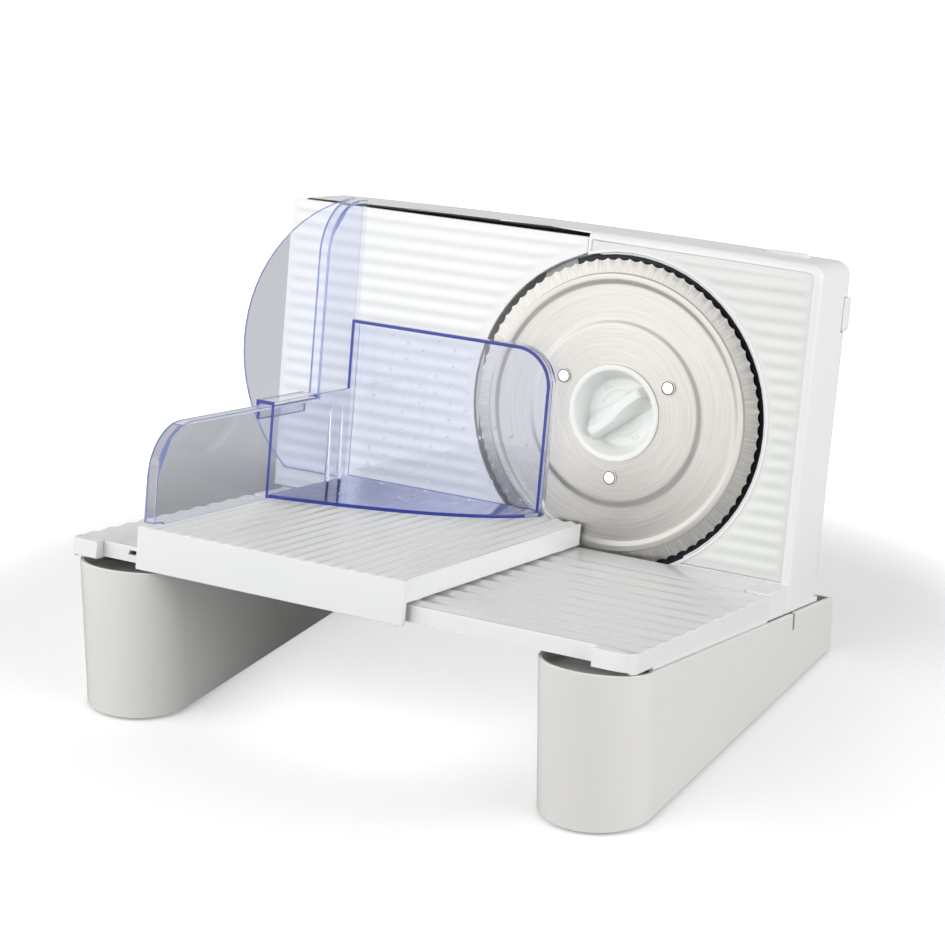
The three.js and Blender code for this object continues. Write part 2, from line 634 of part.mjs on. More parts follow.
function stopPlate() {
  const left = housingLeft - STOP_OVERHANG;
  const bottom = 1.5;
  const top = housingTop - CAP_SHEET - 0.5;
  const shape = outlineOf([[left, bottom], [-STOP_SEAM, bottom], [-STOP_SEAM, top], [left, top]]);
  const plate = cut(
    slabY(shape, RIB_HEIGHT, STOP_SHEET),
    drumY(stopArc, -1, STOP_SHEET + 1, 0, bladeLevel, 64));
  const border = block(left, -STOP_SEAM, 0.6 * RIB_HEIGHT, RIB_HEIGHT + 0.5, top - RIB_BORDER, top);
  const rim = cut(
    drumY(stopArc + RIB_BORDER - 1, 0.6 * RIB_HEIGHT, RIB_HEIGHT + 0.5, 0, bladeLevel, 64).intersect(
      block(left, -STOP_SEAM, -1, STOP_SHEET, bottom, top)),
    drumY(stopArc, -1, STOP_SHEET + 1, 0, bladeLevel, 64));
  const ribs = panelRibs(bottom + 1, top - RIB_BORDER + 1, (z) => [
    left + 4, -Math.max(STOP_SEAM + 5, rimReach(stopArc + RIB_BORDER, z))]);
  const tip = camFront - camRate * (camMargin - 1) - FIT - 0.1;
  const follower = block(
    dialX - FOLLOWER_WIDTH / 2, dialX + FOLLOWER_WIDTH / 2, STOP_SHEET - 0.5, tip,
    DIAL_LEVEL + CAM_BORE + 1, DIAL_LEVEL + CAM_RADIUS - 1);
  const lower = block(left - 1, -STOP_SEAM, -1, STOP_SHEET + 1, bottom, housingTop);
  return join(plate.intersect(lower), border.intersect(lower), rim, ribs, follower);
}

const guideRod = (z) =>
  drumY(GUIDE_ROD_RADIUS, STOP_SHEET + FIT, recessDepth + GUIDE_BUSH_LENGTH - 2.5, guideX, z, 14);

const guideBush = (z) =>
  tubeY(GUIDE_ROD_RADIUS + FIT, guideHole - FIT, recessDepth - 2.8, recessDepth - 2.8 + GUIDE_BUSH_LENGTH,
    guideX, z, 16);

// The dial's cam: a ring whose front face falls back steadily with the angle, on the dial's own shaft
function dialCam() {
  const steps = 24;
  const points = [];
  const faces = [];
  for (let i = 0; i <= steps; i += 1) {
    const turn = -camMargin + (DIAL_TURN + 2 * camMargin) * i / steps;
    const front = camFront + camRate * turn;
    const angle = radians(-turn);
    const section = [[CAM_BORE, front], [CAM_RADIUS, front], [CAM_RADIUS, camBack], [CAM_BORE, camBack]];
    for (const [radius, y] of section) {
      points.push(radius * Math.sin(angle), y, radius * Math.cos(angle));
    }
    if (i === 0) continue;
    const a = (i - 1) * 4;
    const b = i * 4;
    for (let k = 0; k < 4; k += 1) {
      const n = (k + 1) % 4;
      faces.push(a + k, b + k, b + n, a + k, b + n, a + n);
    }
  }
  const last = steps * 4;
  faces.push(0, 1, 2, 0, 2, 3, last, last + 2, last + 1, last, last + 3, last + 2);
  const ramp = new THREE.BufferGeometry();
  ramp.setAttribute('position', new THREE.Float32BufferAttribute(points, 3));
  ramp.setIndex(faces);
  const ring = solid(ramp.translate(dialX, 0, DIAL_LEVEL));
  const disc = drumY(CAM_RADIUS, camBack - 0.5, camBack + 2, dialX, DIAL_LEVEL, 24);
  const shaft = drumY(dialShaft, camBack + 1, housingDepth + DIAL_HEIGHT - 4, dialX, DIAL_LEVEL, 20);
  return join(ring, disc, shaft);
}

function thicknessDial() {
  const back = housingDepth + FIT;
  const rear = back + DIAL_HEIGHT;
  const body = turnedY([
    [dialShaft + FIT, back],
    [DIAL_RADIUS - 2, back],
    [DIAL_RADIUS, back + 2],
    [DIAL_RADIUS - 1, rear - 1.5],
    [DIAL_RADIUS - 2.5, rear],
    [0, rear],
    [0, rear - 3.5],
    [dialShaft + FIT, rear - 3.5],
    [dialShaft + FIT, back],
  ], dialX, DIAL_LEVEL, 24);
  const grips = Array.from({ length: 12 }, (_, i) => {
    const angle = 2 * Math.PI * i / 12;
    const x = dialX + (DIAL_RADIUS + 0.8) * Math.cos(angle);
    const z = DIAL_LEVEL + (DIAL_RADIUS + 0.8) * Math.sin(angle);
    return drumY(2.2, back + 3, rear + 1, x, z, 6);
  });
  return cut(body, ...grips);
}

const bladeInner = BLADE_FRONT - BLADE_RELIEF;
const bladeBore = KNOB_RADIUS - KNOB_LIP + 0.4;

function bladeDisc() {
  const bevelIn = BLADE_RADIUS - BLADE_BEVEL;
  const beadIn = bevelIn - BLADE_BEAD;
  const front = [
    [bladeBore, bladeInner],
    [BLADE_STEP_RADIUS - 2, bladeInner],
    [BLADE_STEP_RADIUS + 1, BLADE_FRONT],
    [beadIn - 1, BLADE_FRONT],
    [beadIn + 1.5, BLADE_FRONT - BLADE_RELIEF],
    [bevelIn - 1, BLADE_FRONT - BLADE_RELIEF],
    [bevelIn, BLADE_FRONT - BLADE_RELIEF / 2],
    [BLADE_RADIUS, -0.4],
  ];
  const back = [
    [BLADE_RADIUS, -0.1],
    [bevelIn, BLADE_FRONT + BLADE_SHEET * 0.6],
    [beadIn + 1.5, BLADE_FRONT - BLADE_RELIEF + BLADE_SHEET],
    [beadIn - 1, BLADE_FRONT + BLADE_SHEET],
    [BLADE_STEP_RADIUS + 1, BLADE_FRONT + BLADE_SHEET],
    [BLADE_STEP_RADIUS - 2, bladeInner + BLADE_SHEET],
    [bladeBore, bladeInner + BLADE_SHEET],
    [bladeBore, bladeInner],
  ];
  const disc = turnedY([...front, ...back], 0, bladeLevel, 48);
  const holes = RIVET_ANGLES.map((angle) =>
    drumY(RIVET_SHANK + FIT, -6, 6, ...aroundBlade(RIVET_CIRCLE, angle), 12));
  return cut(disc, ...holes);
}

const gearFront = bladeInner + BLADE_SHEET + FIT;
const flangeBack = gearFront + 3.8;
const gearLow = GEAR_SETBACK - GEAR_FACE / 2;
const gearHigh = GEAR_SETBACK + GEAR_FACE / 2;
const hubBack = gearHigh + 2;
const driveFront = hubBack + 1;

function rivet(angle) {
  const [x, z] = aroundBlade(RIVET_CIRCLE, angle);
  const seat = bladeInner - FIT;
  return turnedY([
    [0, seat - 0.7],
    [RIVET_RADIUS * 0.7, seat - 0.7],
    [RIVET_RADIUS, seat - 0.3],
    [RIVET_RADIUS, seat],
    [RIVET_SHANK, seat],
    [RIVET_SHANK, flangeBack + FIT],
    [RIVET_RADIUS * 0.8, flangeBack + FIT],
    [RIVET_RADIUS * 0.8, flangeBack + FIT + 0.6],
    [0, flangeBack + FIT + 0.6],
  ], x, z, 14);
}

// A toothed ring whose teeth lean with the worm's thread
function toothRing() {
  const pitch = 2 * Math.PI / GEAR_TEETH;
  const tipHalf = (TOOTH_THICKNESS / 2 - TOOTH_OUT * TOOTH_SLOPE) / gearTip;
  const rootHalf = (TOOTH_THICKNESS / 2 + TOOTH_IN * TOOTH_SLOPE) / gearRoot;
  const points = [];
  for (let i = 0; i < GEAR_TEETH; i += 1) {
    const middle = pitch * (i + 0.5);
    const flank = [[gearRoot, -rootHalf], [gearTip, -tipHalf], [gearTip, tipHalf], [gearRoot, rootHalf]];
    for (const [radius, offset] of flank) {
      points.push([radius * Math.cos(middle + offset), radius * Math.sin(middle + offset)]);
    }
  }
  const shape = outlineOf(points);
  shape.holes.push(new THREE.Path().absarc(0, 0, gearRoot - 4, 0, 2 * Math.PI));
  const ring = new THREE.ExtrudeGeometry(shape, { depth: GEAR_FACE, bevelEnabled: false, curveSegments: 12 });
  ring.applyMatrix4(new THREE.Matrix4().makeBasis(AXIS_X, AXIS_Z, AXIS_Y.clone().negate()));
  ring.translate(0, gearHigh, 0);
  const lean = wormLead / (2 * Math.PI * WORM_RADIUS) / GEAR_RADIUS;
  const place = ring.attributes.position;
  const point = new THREE.Vector3();
  for (let i = 0; i < place.count; i += 1) {
    point.fromBufferAttribute(place, i);
    point.applyAxisAngle(AXIS_Y, lean * (point.y - GEAR_SETBACK));
    place.setXYZ(i, point.x, point.y, point.z);
  }
  return solid(ring.translate(0, 0, bladeLevel));
}

function bladeGear() {
  const recess = KNOB_RADIUS - KNOB_LIP + 0.3;
  const hub = turnedY([
    [recess, gearFront],
    [RIVET_CIRCLE + GEAR_FLANGE, gearFront],
    [RIVET_CIRCLE + GEAR_FLANGE, flangeBack],
    [recess + 3, flangeBack],
    [recess + 3, gearLow],
    [gearRoot - 3, gearLow],
    [gearRoot - 3, gearHigh],
    [SPINDLE_RADIUS + BUSH_WALL + 5, gearHigh],
    [SPINDLE_RADIUS + BUSH_WALL + 5, hubBack],
    [SPINDLE_RADIUS + BUSH_WALL + 2 * FIT, hubBack],
    [SPINDLE_RADIUS + BUSH_WALL + 2 * FIT, hubDepth],
    [recess, hubDepth],
    [recess, gearFront],
  ], 0, bladeLevel, 36);
  const holes = RIVET_ANGLES.map((angle) =>
    drumY(RIVET_SHANK + FIT, -6, flangeBack + 1, ...aroundBlade(RIVET_CIRCLE, angle), 12));
  const tailRoom = RIVET_ANGLES.map((angle) =>
    drumY(RIVET_RADIUS + 0.5, flangeBack, flangeBack + 2, ...aroundBlade(RIVET_CIRCLE, angle), 12));
  return cut(join(hub, toothRing()), ...holes, ...tailRoom);
}

const spindleBush = () =>
  tubeY(SPINDLE_RADIUS + FIT, SPINDLE_RADIUS + FIT + BUSH_WALL, hubDepth + FIT, hubBack, 0, bladeLevel, 24);

const knobFloor = KNOB_DEPTH + bladeInner - 3.2;
const tipRadius = SPINDLE_RADIUS - 2;

function bladeSpindle() {
  const flange = driveFront + DRIVE_PLATE + FIT;
  return turnedY([
    [0, knobFloor - 4.6],
    [tipRadius, knobFloor - 4.6],
    [tipRadius, hubDepth],
    [SPINDLE_RADIUS, hubDepth],
    [SPINDLE_RADIUS, flange],
    [SPINDLE_RADIUS + 3.5, flange],
    [SPINDLE_RADIUS + 3.5, flange + 2.5],
    [0, flange + 2.5],
  ], 0, bladeLevel, 24);
}

// The lock knob: a dished cup set into the blade, with a curved finger grip across it
function lockKnob() {
  const rim = bladeInner - FIT - KNOB_RIM;
  const outer = KNOB_RADIUS - KNOB_LIP - 0.1;
  const back = hubDepth - FIT;
  const core = tipRadius + FIT + 1.9;
  const cup = turnedY([
    [KNOB_RADIUS - 0.6, rim],
    [KNOB_RADIUS, rim + 0.5],
    [KNOB_RADIUS, bladeInner - FIT],
    [outer, bladeInner - FIT],
    [outer, back],
    [tipRadius + FIT, back],
    [tipRadius + FIT, knobFloor - 5],
    [0, knobFloor - 5],
    [0, knobFloor - 6.5],
    [core, knobFloor - 6.5],
    [core, knobFloor],
    [KNOB_RADIUS - KNOB_LIP - KNOB_WALL - 4, knobFloor],
    [KNOB_RADIUS - KNOB_LIP - KNOB_WALL, rim + 0.6],
    [KNOB_RADIUS - KNOB_LIP - KNOB_WALL + 1, rim],
    [KNOB_RADIUS - 0.6, rim],
  ], 0, bladeLevel, 28);
  const reach = KNOB_RADIUS - KNOB_LIP - KNOB_WALL - 2;
  const grip = new THREE.Shape();
  grip.moveTo(-reach, -1.5);
  grip.bezierCurveTo(-reach * 0.6, -KNOB_GRIP * 0.5, reach * 0.3, -KNOB_GRIP * 0.75, reach, -1);
  grip.lineTo(reach, 1.5);
  grip.bezierCurveTo(reach * 0.6, KNOB_GRIP * 0.5, -reach * 0.3, KNOB_GRIP * 0.75, -reach, 1);
  const height = knobFloor + 0.5 - rim;
  const bar = new THREE.ExtrudeGeometry(grip, { depth: height, bevelEnabled: false, curveSegments: 5 });
  bar.rotateZ(radians(37));
  bar.applyMatrix4(new THREE.Matrix4().makeBasis(AXIS_X, AXIS_Z, AXIS_Y.clone().negate()));
  const hole = drumY(tipRadius + FIT, knobFloor - 5, back + 1, 0, bladeLevel, 28);
  return cut(join(cup, solid(bar.translate(0, knobFloor + 0.5, bladeLevel))), hole);
}

function drivePlate() {
  const [upper, upperLeft, lowerLeft, lower] = drivePosts;
  const margin = 7.5;
  const shape = outlineOf([
    [upper[0] + margin, upper[1] + margin],
    [upperLeft[0] - margin / 2, upperLeft[1] + margin],
    [lowerLeft[0] - margin / 2, lowerLeft[1] - margin],
    [lower[0] + margin, lower[1] - margin],
  ]);
  const plate = slabY(shape, driveFront, driveFront + DRIVE_PLATE);
  const holes = drivePosts.map(([x, z]) =>
    drumY(SCREW_SHANK + FIT, driveFront - 1, driveFront + DRIVE_PLATE + 1, x, z, 10));
  const back = driveFront + DRIVE_PLATE;
  return cut(plate, drumY(SPINDLE_RADIUS + FIT, driveFront - 1, back + 1, 0, bladeLevel, 24), ...holes);
}

const wormHalf = wormLead * WORM_TURNS / 2;
const gearDrop = Math.sqrt(gearTip ** 2 - Math.max(0, motorX - MOTOR_RADIUS - 1) ** 2);
const motorTop = bladeLevel - gearDrop - 1;
const motorBottom = -HOUSING_DROP + WALL + 3;
const bearingLow = bladeLevel + wormHalf + 4;
const bearingHigh = bearingLow + 6;
const bearingRadius = 5;

function motor() {
  return turnedZ([
    [0, motorBottom],
    [MOTOR_RADIUS - 2, motorBottom],
    [MOTOR_RADIUS, motorBottom + 2],
    [MOTOR_RADIUS, motorTop - 1.5],
    [MOTOR_RADIUS - 1.5, motorTop],
    [6.5, motorTop],
    [6.5, motorTop + 2.5],
    [MOTOR_SHAFT + FIT, motorTop + 2.5],
    [MOTOR_SHAFT + FIT, motorTop - 14],
    [0, motorTop - 14],
  ], motorX, GEAR_SETBACK, 28);
}

const motorShaft = () => drumZ(MOTOR_SHAFT, motorTop - 13.7, bearingHigh, motorX, GEAR_SETBACK, 14);

// The worm: one thread wound round a sleeve, in mesh with the gear at the blade's own height
function worm() {
  const root = WORM_RADIUS - TOOTH_IN;
  const tip = WORM_RADIUS + TOOTH_OUT;
  const rootHalf = TOOTH_THICKNESS / 2 + TOOTH_IN * TOOTH_SLOPE;
  const tipHalf = TOOTH_THICKNESS / 2 - TOOTH_OUT * TOOTH_SLOPE;
  const perTurn = 16;
  const steps = perTurn * WORM_TURNS;
  const points = [];
  const faces = [];
  for (let i = 0; i <= steps; i += 1) {
    const angle = Math.PI + 2 * Math.PI * (i - steps / 2) / perTurn;
    const level = bladeLevel + wormLead * (angle - Math.PI) / (2 * Math.PI);
    const sunk = root - 0.6;
    for (const [radius, dz] of [[sunk, -rootHalf], [tip, -tipHalf], [tip, tipHalf], [sunk, rootHalf]]) {
      points.push(radius * Math.cos(angle), radius * Math.sin(angle), level + dz);
    }
    if (i === 0) continue;
    const a = (i - 1) * 4;
    const b = i * 4;
    for (let k = 0; k < 4; k += 1) {
      const n = (k + 1) % 4;
      faces.push(a + k, b + k, b + n, a + k, b + n, a + n);
    }
  }
  const last = steps * 4;
  faces.push(0, 1, 2, 0, 2, 3, last, last + 2, last + 1, last, last + 3, last + 2);
  const thread = new THREE.BufferGeometry();
  thread.setAttribute('position', new THREE.Float32BufferAttribute(points, 3));
  thread.setIndex(faces);
  const wound = solid(thread.translate(motorX, GEAR_SETBACK, 0));
  const low = bladeLevel - wormHalf - 2.5;
  const high = bladeLevel + wormHalf + 2.5;
  const sleeve = turnedZ([
    [MOTOR_SHAFT + FIT, low], [root, low], [root, high], [MOTOR_SHAFT + FIT, high], [MOTOR_SHAFT + FIT, low],
  ], motorX, GEAR_SETBACK, 20);
  return cut(join(wound, sleeve), drumZ(MOTOR_SHAFT + FIT, low - 3, high + 3, motorX, GEAR_SETBACK, 20));
}

const wormBearing = () => turnedZ([
  [MOTOR_SHAFT + FIT, bearingLow],
  [bearingRadius, bearingLow],
  [bearingRadius, bearingHigh],
  [MOTOR_SHAFT + FIT, bearingHigh],
  [MOTOR_SHAFT + FIT, bearingLow],
], motorX, GEAR_SETBACK, 20);

// A bent plate behind the motor: a foot on the housing's floor under it and an arm round the worm's bearing
function motorBracket() {
  const back = GEAR_SETBACK + MOTOR_RADIUS + 0.4;
  const floor = -HOUSING_DROP + WALL + FIT;
  const half = MOTOR_RADIUS - 2;
  const plate = block(motorX - half, motorX + half, back, back + BRACKET_SHEET, floor, bearingHigh);
  const foot = block(motorX - half, motorX + half, GEAR_SETBACK - 12, back + 0.5, floor, motorBottom - FIT);
  const arm = block(motorX - 6.8, motorX + 9, GEAR_SETBACK - 9, back + 0.5, bearingLow, bearingHigh);
  const bore = drumZ(bearingRadius + FIT, bearingLow - 1, bearingHigh + 1, motorX, GEAR_SETBACK, 20);
  return cut(join(plate, foot, arm), bore);
}

function powerButton() {
  const under = powerTop - 9;
  const track = racetrack(powerX, powerY, POWER_LENGTH, POWER_WIDTH);
  const crown = racetrack(powerX, powerY, POWER_LENGTH - 3, POWER_WIDTH - 3);
  const lip = racetrack(powerX, powerY, POWER_LENGTH + 2 * BUTTON_LIP, POWER_WIDTH + 2 * BUTTON_LIP);
  const lipTop = crownLevel(powerX + POWER_LENGTH / 2 + BUTTON_LIP, WALL) - FIT - 0.2;
  return join(
    slabZ(track, under, powerTop + POWER_PROUD - 0.8, 6),
    slabZ(crown, under, powerTop + POWER_PROUD, 6),
    slabZ(lip, under, lipTop, 6));
}

// A coil spring about an axle along z, between two heights
function coilZ(low, high) {
  class Coil extends THREE.Curve {
    getPoint(t) {
      const angle = 2 * Math.PI * SPRING_TURNS * t;
      const level = low + SPRING_WIRE + (high - low - 2 * SPRING_WIRE) * t;
      return new THREE.Vector3(SPRING_RADIUS * Math.cos(angle), SPRING_RADIUS * Math.sin(angle), level);
    }
  }
  const wire = new THREE.Shape();
  wire.absarc(0, 0, SPRING_WIRE, 0, 2 * Math.PI);
  return new THREE.ExtrudeGeometry(
    wire, { extrudePath: new Coil(), steps: SPRING_TURNS * 8, curveSegments: 2, bevelEnabled: false });
}

const powerSwitchTop = powerTop - SWITCH_HEIGHT + 0.8;

function powerSpring() {
  return solid(coilZ(powerSwitchTop + FIT, powerTop - 9 - FIT).translate(powerX, powerY, 0));
}

function powerSwitch() {
  const low = powerTop - SWITCH_HEIGHT - 12.5 + FIT;
  return join(
    block(powerX - 9, powerX + 9, powerY - 7, powerY + 7, low, powerSwitchTop),
    drumZ(1.8, powerSwitchTop - 1, powerTop - 9 - POWER_TRAVEL - FIT, powerX, powerY, 10));
}

const safetyInner = housingRight - WALL - FIT - 2.4;

function safetyButton() {
  const z0 = safetyZ - SAFETY_LENGTH / 2;
  const z1 = safetyZ + SAFETY_LENGTH / 2;
  const front = safetyY - SAFETY_WIDTH / 2;
  const outer = housingRight + SAFETY_PROUD;
  const plan = outlineOf([
    [safetyInner, front],
    [outer, front],
    [outer, housingDepth - REAR_ROUND + 1],
    [outer - REAR_ROUND * 0.2, housingDepth - REAR_ROUND * 0.3],
    [outer - REAR_ROUND * 0.45, housingDepth],
    [housingRight - WALL - FIT, housingDepth],
    [housingRight - WALL - FIT, innerCover - FIT],
    [safetyInner, innerCover - FIT],
  ]);
  return join(
    slabZ(plan, z0, z1),
    block(safetyInner, housingRight - WALL - FIT, safetyY - SAFETY_WIDTH / 2 - BUTTON_LIP, innerCover - 4,
      z0 - BUTTON_LIP, z1 + BUTTON_LIP));
}

const safetySwitchRight = safetyInner - SAFETY_GAP;

function safetySpring() {
  const coil = coilZ(0, safetyInner - safetySwitchRight - 2 * FIT);
  coil.rotateY(Math.PI / 2);
  return solid(coil.translate(safetySwitchRight + FIT, safetyY - 4, safetyZ));
}

function safetySwitch() {
  const y = safetyY - 4;
  return join(
    block(safetySwitchRight - 10, safetySwitchRight, y - 5, y + 5, safetyZ - 7 + FIT, safetyZ + 7),
    drumX(1.8, safetySwitchRight - 1, safetyInner - SAFETY_TRAVEL - FIT, y, safetyZ, 10));
}

function cordGland() {
  const [x, z] = glandPlace;
  const flange = housingDepth + FIT;
  return turnedY([
    [3.4, innerCover - 3],
    [glandRadius, innerCover - 3],
    [glandRadius, flange],
    [glandRadius + 2.5, flange],
    [glandRadius + 2, flange + 2],
    [3.4, flange + 2],
    [3.4, innerCover - 3],
  ], x, z, 20);
}

// A row of rounded ribs from valley to valley, as points of a section
function waves(from, pitch, count, steps, low, high) {
  return Array.from({ length: count * steps }, (_, i) => {
    const rise = Math.sin((Math.PI * (i % steps)) / steps);
    return [from + (pitch * i) / steps, low + (high - low) * rise * rise];
  });
}

// The table: a ribbed plate with a recessed front fascia between corner blocks, skirts and leg bosses
function basePlate() {
  const front = -BASE_REACH;
  const fascia = front + FASCIA_SETBACK;
  const rear = -0.6;
  const bladeHalf = Math.sqrt(wellRadius ** 2 - bladeLevel ** 2) + 5;
  const ribEnd = -EAR_REACH;
  const ribCount = Math.floor((ribEnd - fascia - 2) / TABLE_RIB_PITCH);
  const ribStart = ribEnd - TABLE_RIB_PITCH * ribCount;
  const ribs = waves(ribStart, TABLE_RIB_PITCH, ribCount, 8, -TABLE_RIB_HEIGHT, 0);
  const section = outlineOf([
    [front, -BASE_SHEET],
    [rear, -BASE_SHEET],
    [rear, -0.3 * TABLE_RIB_HEIGHT],
    [ribEnd + 2, -0.3 * TABLE_RIB_HEIGHT],
    [ribEnd, -TABLE_RIB_HEIGHT],
    ...ribs.reverse(),
    [ribStart - 1, -0.3 * TABLE_RIB_HEIGHT],
    [front, -0.3 * TABLE_RIB_HEIGHT],
  ]);
  const sheet = slabX(section, baseLeft, baseRight);
  const notch = block(
    baseLeft + BLOCK_LEFT_WIDTH, baseRight - BLOCK_RIGHT_WIDTH, front - 1, fascia, -BASE_SKIRT, 1);
  const earRoom = [
    block(earInnerRight, baseRight + 1, -EAR_REACH - 0.4, 1, -BASE_SKIRT - 1, 1),
    block(baseLeft - 1, earInnerLeft, -EAR_REACH - 0.4, 1, -BASE_SKIRT - 1, 1),
  ];
  const bladeRoom = block(-bladeHalf, bladeHalf, bladeInner - FIT - KNOB_RIM - 0.4, 1, -BASE_SKIRT, 1);
  const solidRight = block(baseRight - BLOCK_RIGHT_WIDTH, baseRight, front, fascia + 8, -BASE_EDGE, -1);
  const solidLeft = block(baseLeft, baseLeft + BLOCK_LEFT_WIDTH, front, fascia + 8, -BASE_EDGE, -1);
  const fasciaWall = block(
    baseLeft + BLOCK_LEFT_WIDTH - 1, baseRight - BLOCK_RIGHT_WIDTH + 1,
    fascia, fascia + WALL, -APRON_DROP + 1.6, -1);
  const skirts = [[baseRight - WALL, baseRight], [baseLeft, baseLeft + WALL]].map(([x0, x1]) =>
    block(x0, x1, front + 2, -EAR_REACH - 0.4, -BASE_EDGE - 1, -1));
  const inset = 0.6;
  const lowSides = [[baseRight - WALL, baseRight - inset], [baseLeft + inset, baseLeft + WALL]];
  const lowSkirts = lowSides.map(([x0, x1]) =>
    block(x0, x1, front + 26, -EAR_REACH - 0.4, -BASE_SKIRT, -BASE_EDGE));
  const rearWall = block(
    earInnerLeft, earInnerRight, -EAR_REACH + 8, -EAR_REACH + 8 + WALL, -10, -1);
  const hingeBlocks = [
    block(earInnerRight - 15.6, earInnerRight, hingeY - 6, hingeY + 6, hingeZ - 5.5, -1),
    block(earInnerLeft, earInnerLeft + 15.6, hingeY - 6, hingeY + 6, hingeZ - 5.5, -1),
  ];
  const stiffeners = [-1, 0, 1].map((i) => baseMiddle + STIFFENER_PITCH * i).map((x) =>
    block(x, x + WALL, fascia + 1, -EAR_REACH + 9, -8, -1));
  const bosses = Object.values(legCentres).map((x) =>
    drumZ(5, legPostPlaces[0].z, -1, x, legPostPlaces[0].y, 12));
  const bossFoot = legPostPlaces[0].z;
  const pilots = Object.values(legCentres).map((x) =>
    drumZ(SCREW_SHANK + FIT, bossFoot - 1, bossFoot + legScrewGrip + 0.5, x, legPostPlaces[0].y, 10));
  const pinHoles = [
    drumX(HINGE_PIN_RADIUS + FIT, earInnerRight - 16.6, housingRight, hingeY, hingeZ, 14),
    drumX(HINGE_PIN_RADIUS + FIT, housingLeft, earInnerLeft + 16.6, hingeY, hingeZ, 14),
  ];
  const keyhole = baseLeft + BLOCK_LEFT_WIDTH + KEYHOLE_INSET;
  const fasciaHole = block(keyhole, keyhole + KEYHOLE_WIDTH, fascia - 1, fascia + WALL + 1, -5, -2.5);
  const body = join(
    cut(sheet, notch), solidRight, solidLeft, fasciaWall, ...skirts, ...lowSkirts, rearWall, ...hingeBlocks,
    ...stiffeners, ...bosses);
  const turn = front + BASE_CORNER;
  const corners = [[baseRight - BASE_CORNER, baseRight + 1], [baseLeft - 1, baseLeft + BASE_CORNER]].map(
    ([x0, x1], i) => cut(
      block(x0, x1, front - 1, turn, -BASE_SKIRT, 1),
      drumZ(BASE_CORNER, -BASE_SKIRT - 1, 2, i ? x1 : x0, turn, 24)));
  return cut(body, ...earRoom, bladeRoom, ...pilots, ...pinHoles, fasciaHole, ...corners);
}

const hingePins = {
  right: () => drumX(HINGE_PIN_RADIUS, earInnerRight - 15, housingRight - WALL - FIT, hingeY, hingeZ, 14),
  left: () => drumX(HINGE_PIN_RADIUS, housingLeft + 2 + WALL + FIT, earInnerLeft + 15, hingeY, hingeZ, 14),
};

// The carriage: a ribbed tray that slides along the table, with an apron over the table's front
function carriage() {
  const front = -BASE_REACH + 0.2;
  const rear = -FRONT_CLEARANCE;
  const ribFrom = fenceFace + 3.1;
  const ribCount = Math.floor((carriageRight - 1.5 - ribFrom) / CARRIAGE_RIB_PITCH);
  const valley = CARRIAGE_TOP - CARRIAGE_RIB_HEIGHT;
  const ribs = waves(ribFrom, CARRIAGE_RIB_PITCH, ribCount, 6, valley, CARRIAGE_TOP);
  const ribEnd = ribFrom + CARRIAGE_RIB_PITCH * ribCount;
  const plain = CARRIAGE_TOP - 0.3 * CARRIAGE_RIB_HEIGHT;
  const under = CARRIAGE_TOP - CARRIAGE_SHEET;
  const section = outlineOf([
    [carriageLeft, under],
    [carriageRight, under],
    [carriageRight, plain],
    [ribEnd, valley],
    ...ribs.reverse(),
    [ribFrom - 1, plain],
    [carriageLeft, plain],
  ]);
  const tray = slabY(section, front, rear);
  const skirtLow = 1.2;
  const skirts = [
    block(carriageRight - CARRIAGE_SKIRT, carriageRight, front, rear, skirtLow, under + 1),
    block(carriageLeft, carriageLeft + CARRIAGE_SKIRT, front, rear, skirtLow, under + 1),
  ];
  const apron = block(carriageLeft, carriageRight, front, front + APRON_SHEET, -APRON_DROP, under + 1);
  const lip = block(
    carriageLeft + 14, carriageRight - 14, front + 1, -BASE_REACH + FASCIA_SETBACK + WALL,
    -APRON_DROP, -APRON_DROP + 1.1);
  const runners = [-BASE_REACH + FASCIA_SETBACK + 12, -24].map((y) =>
    block(carriageLeft + 1, carriageRight - 1, y - 3, y + 3, 0.4, under + 1));
  const slot = block(
    fenceFace - FENCE_SHEET - FIT, fenceFace + FIT, front + 12, rear - 10, under + 0.6, CARRIAGE_TOP + 1);
  return cut(join(tray, ...skirts, apron, lip, ...runners), slot);
}

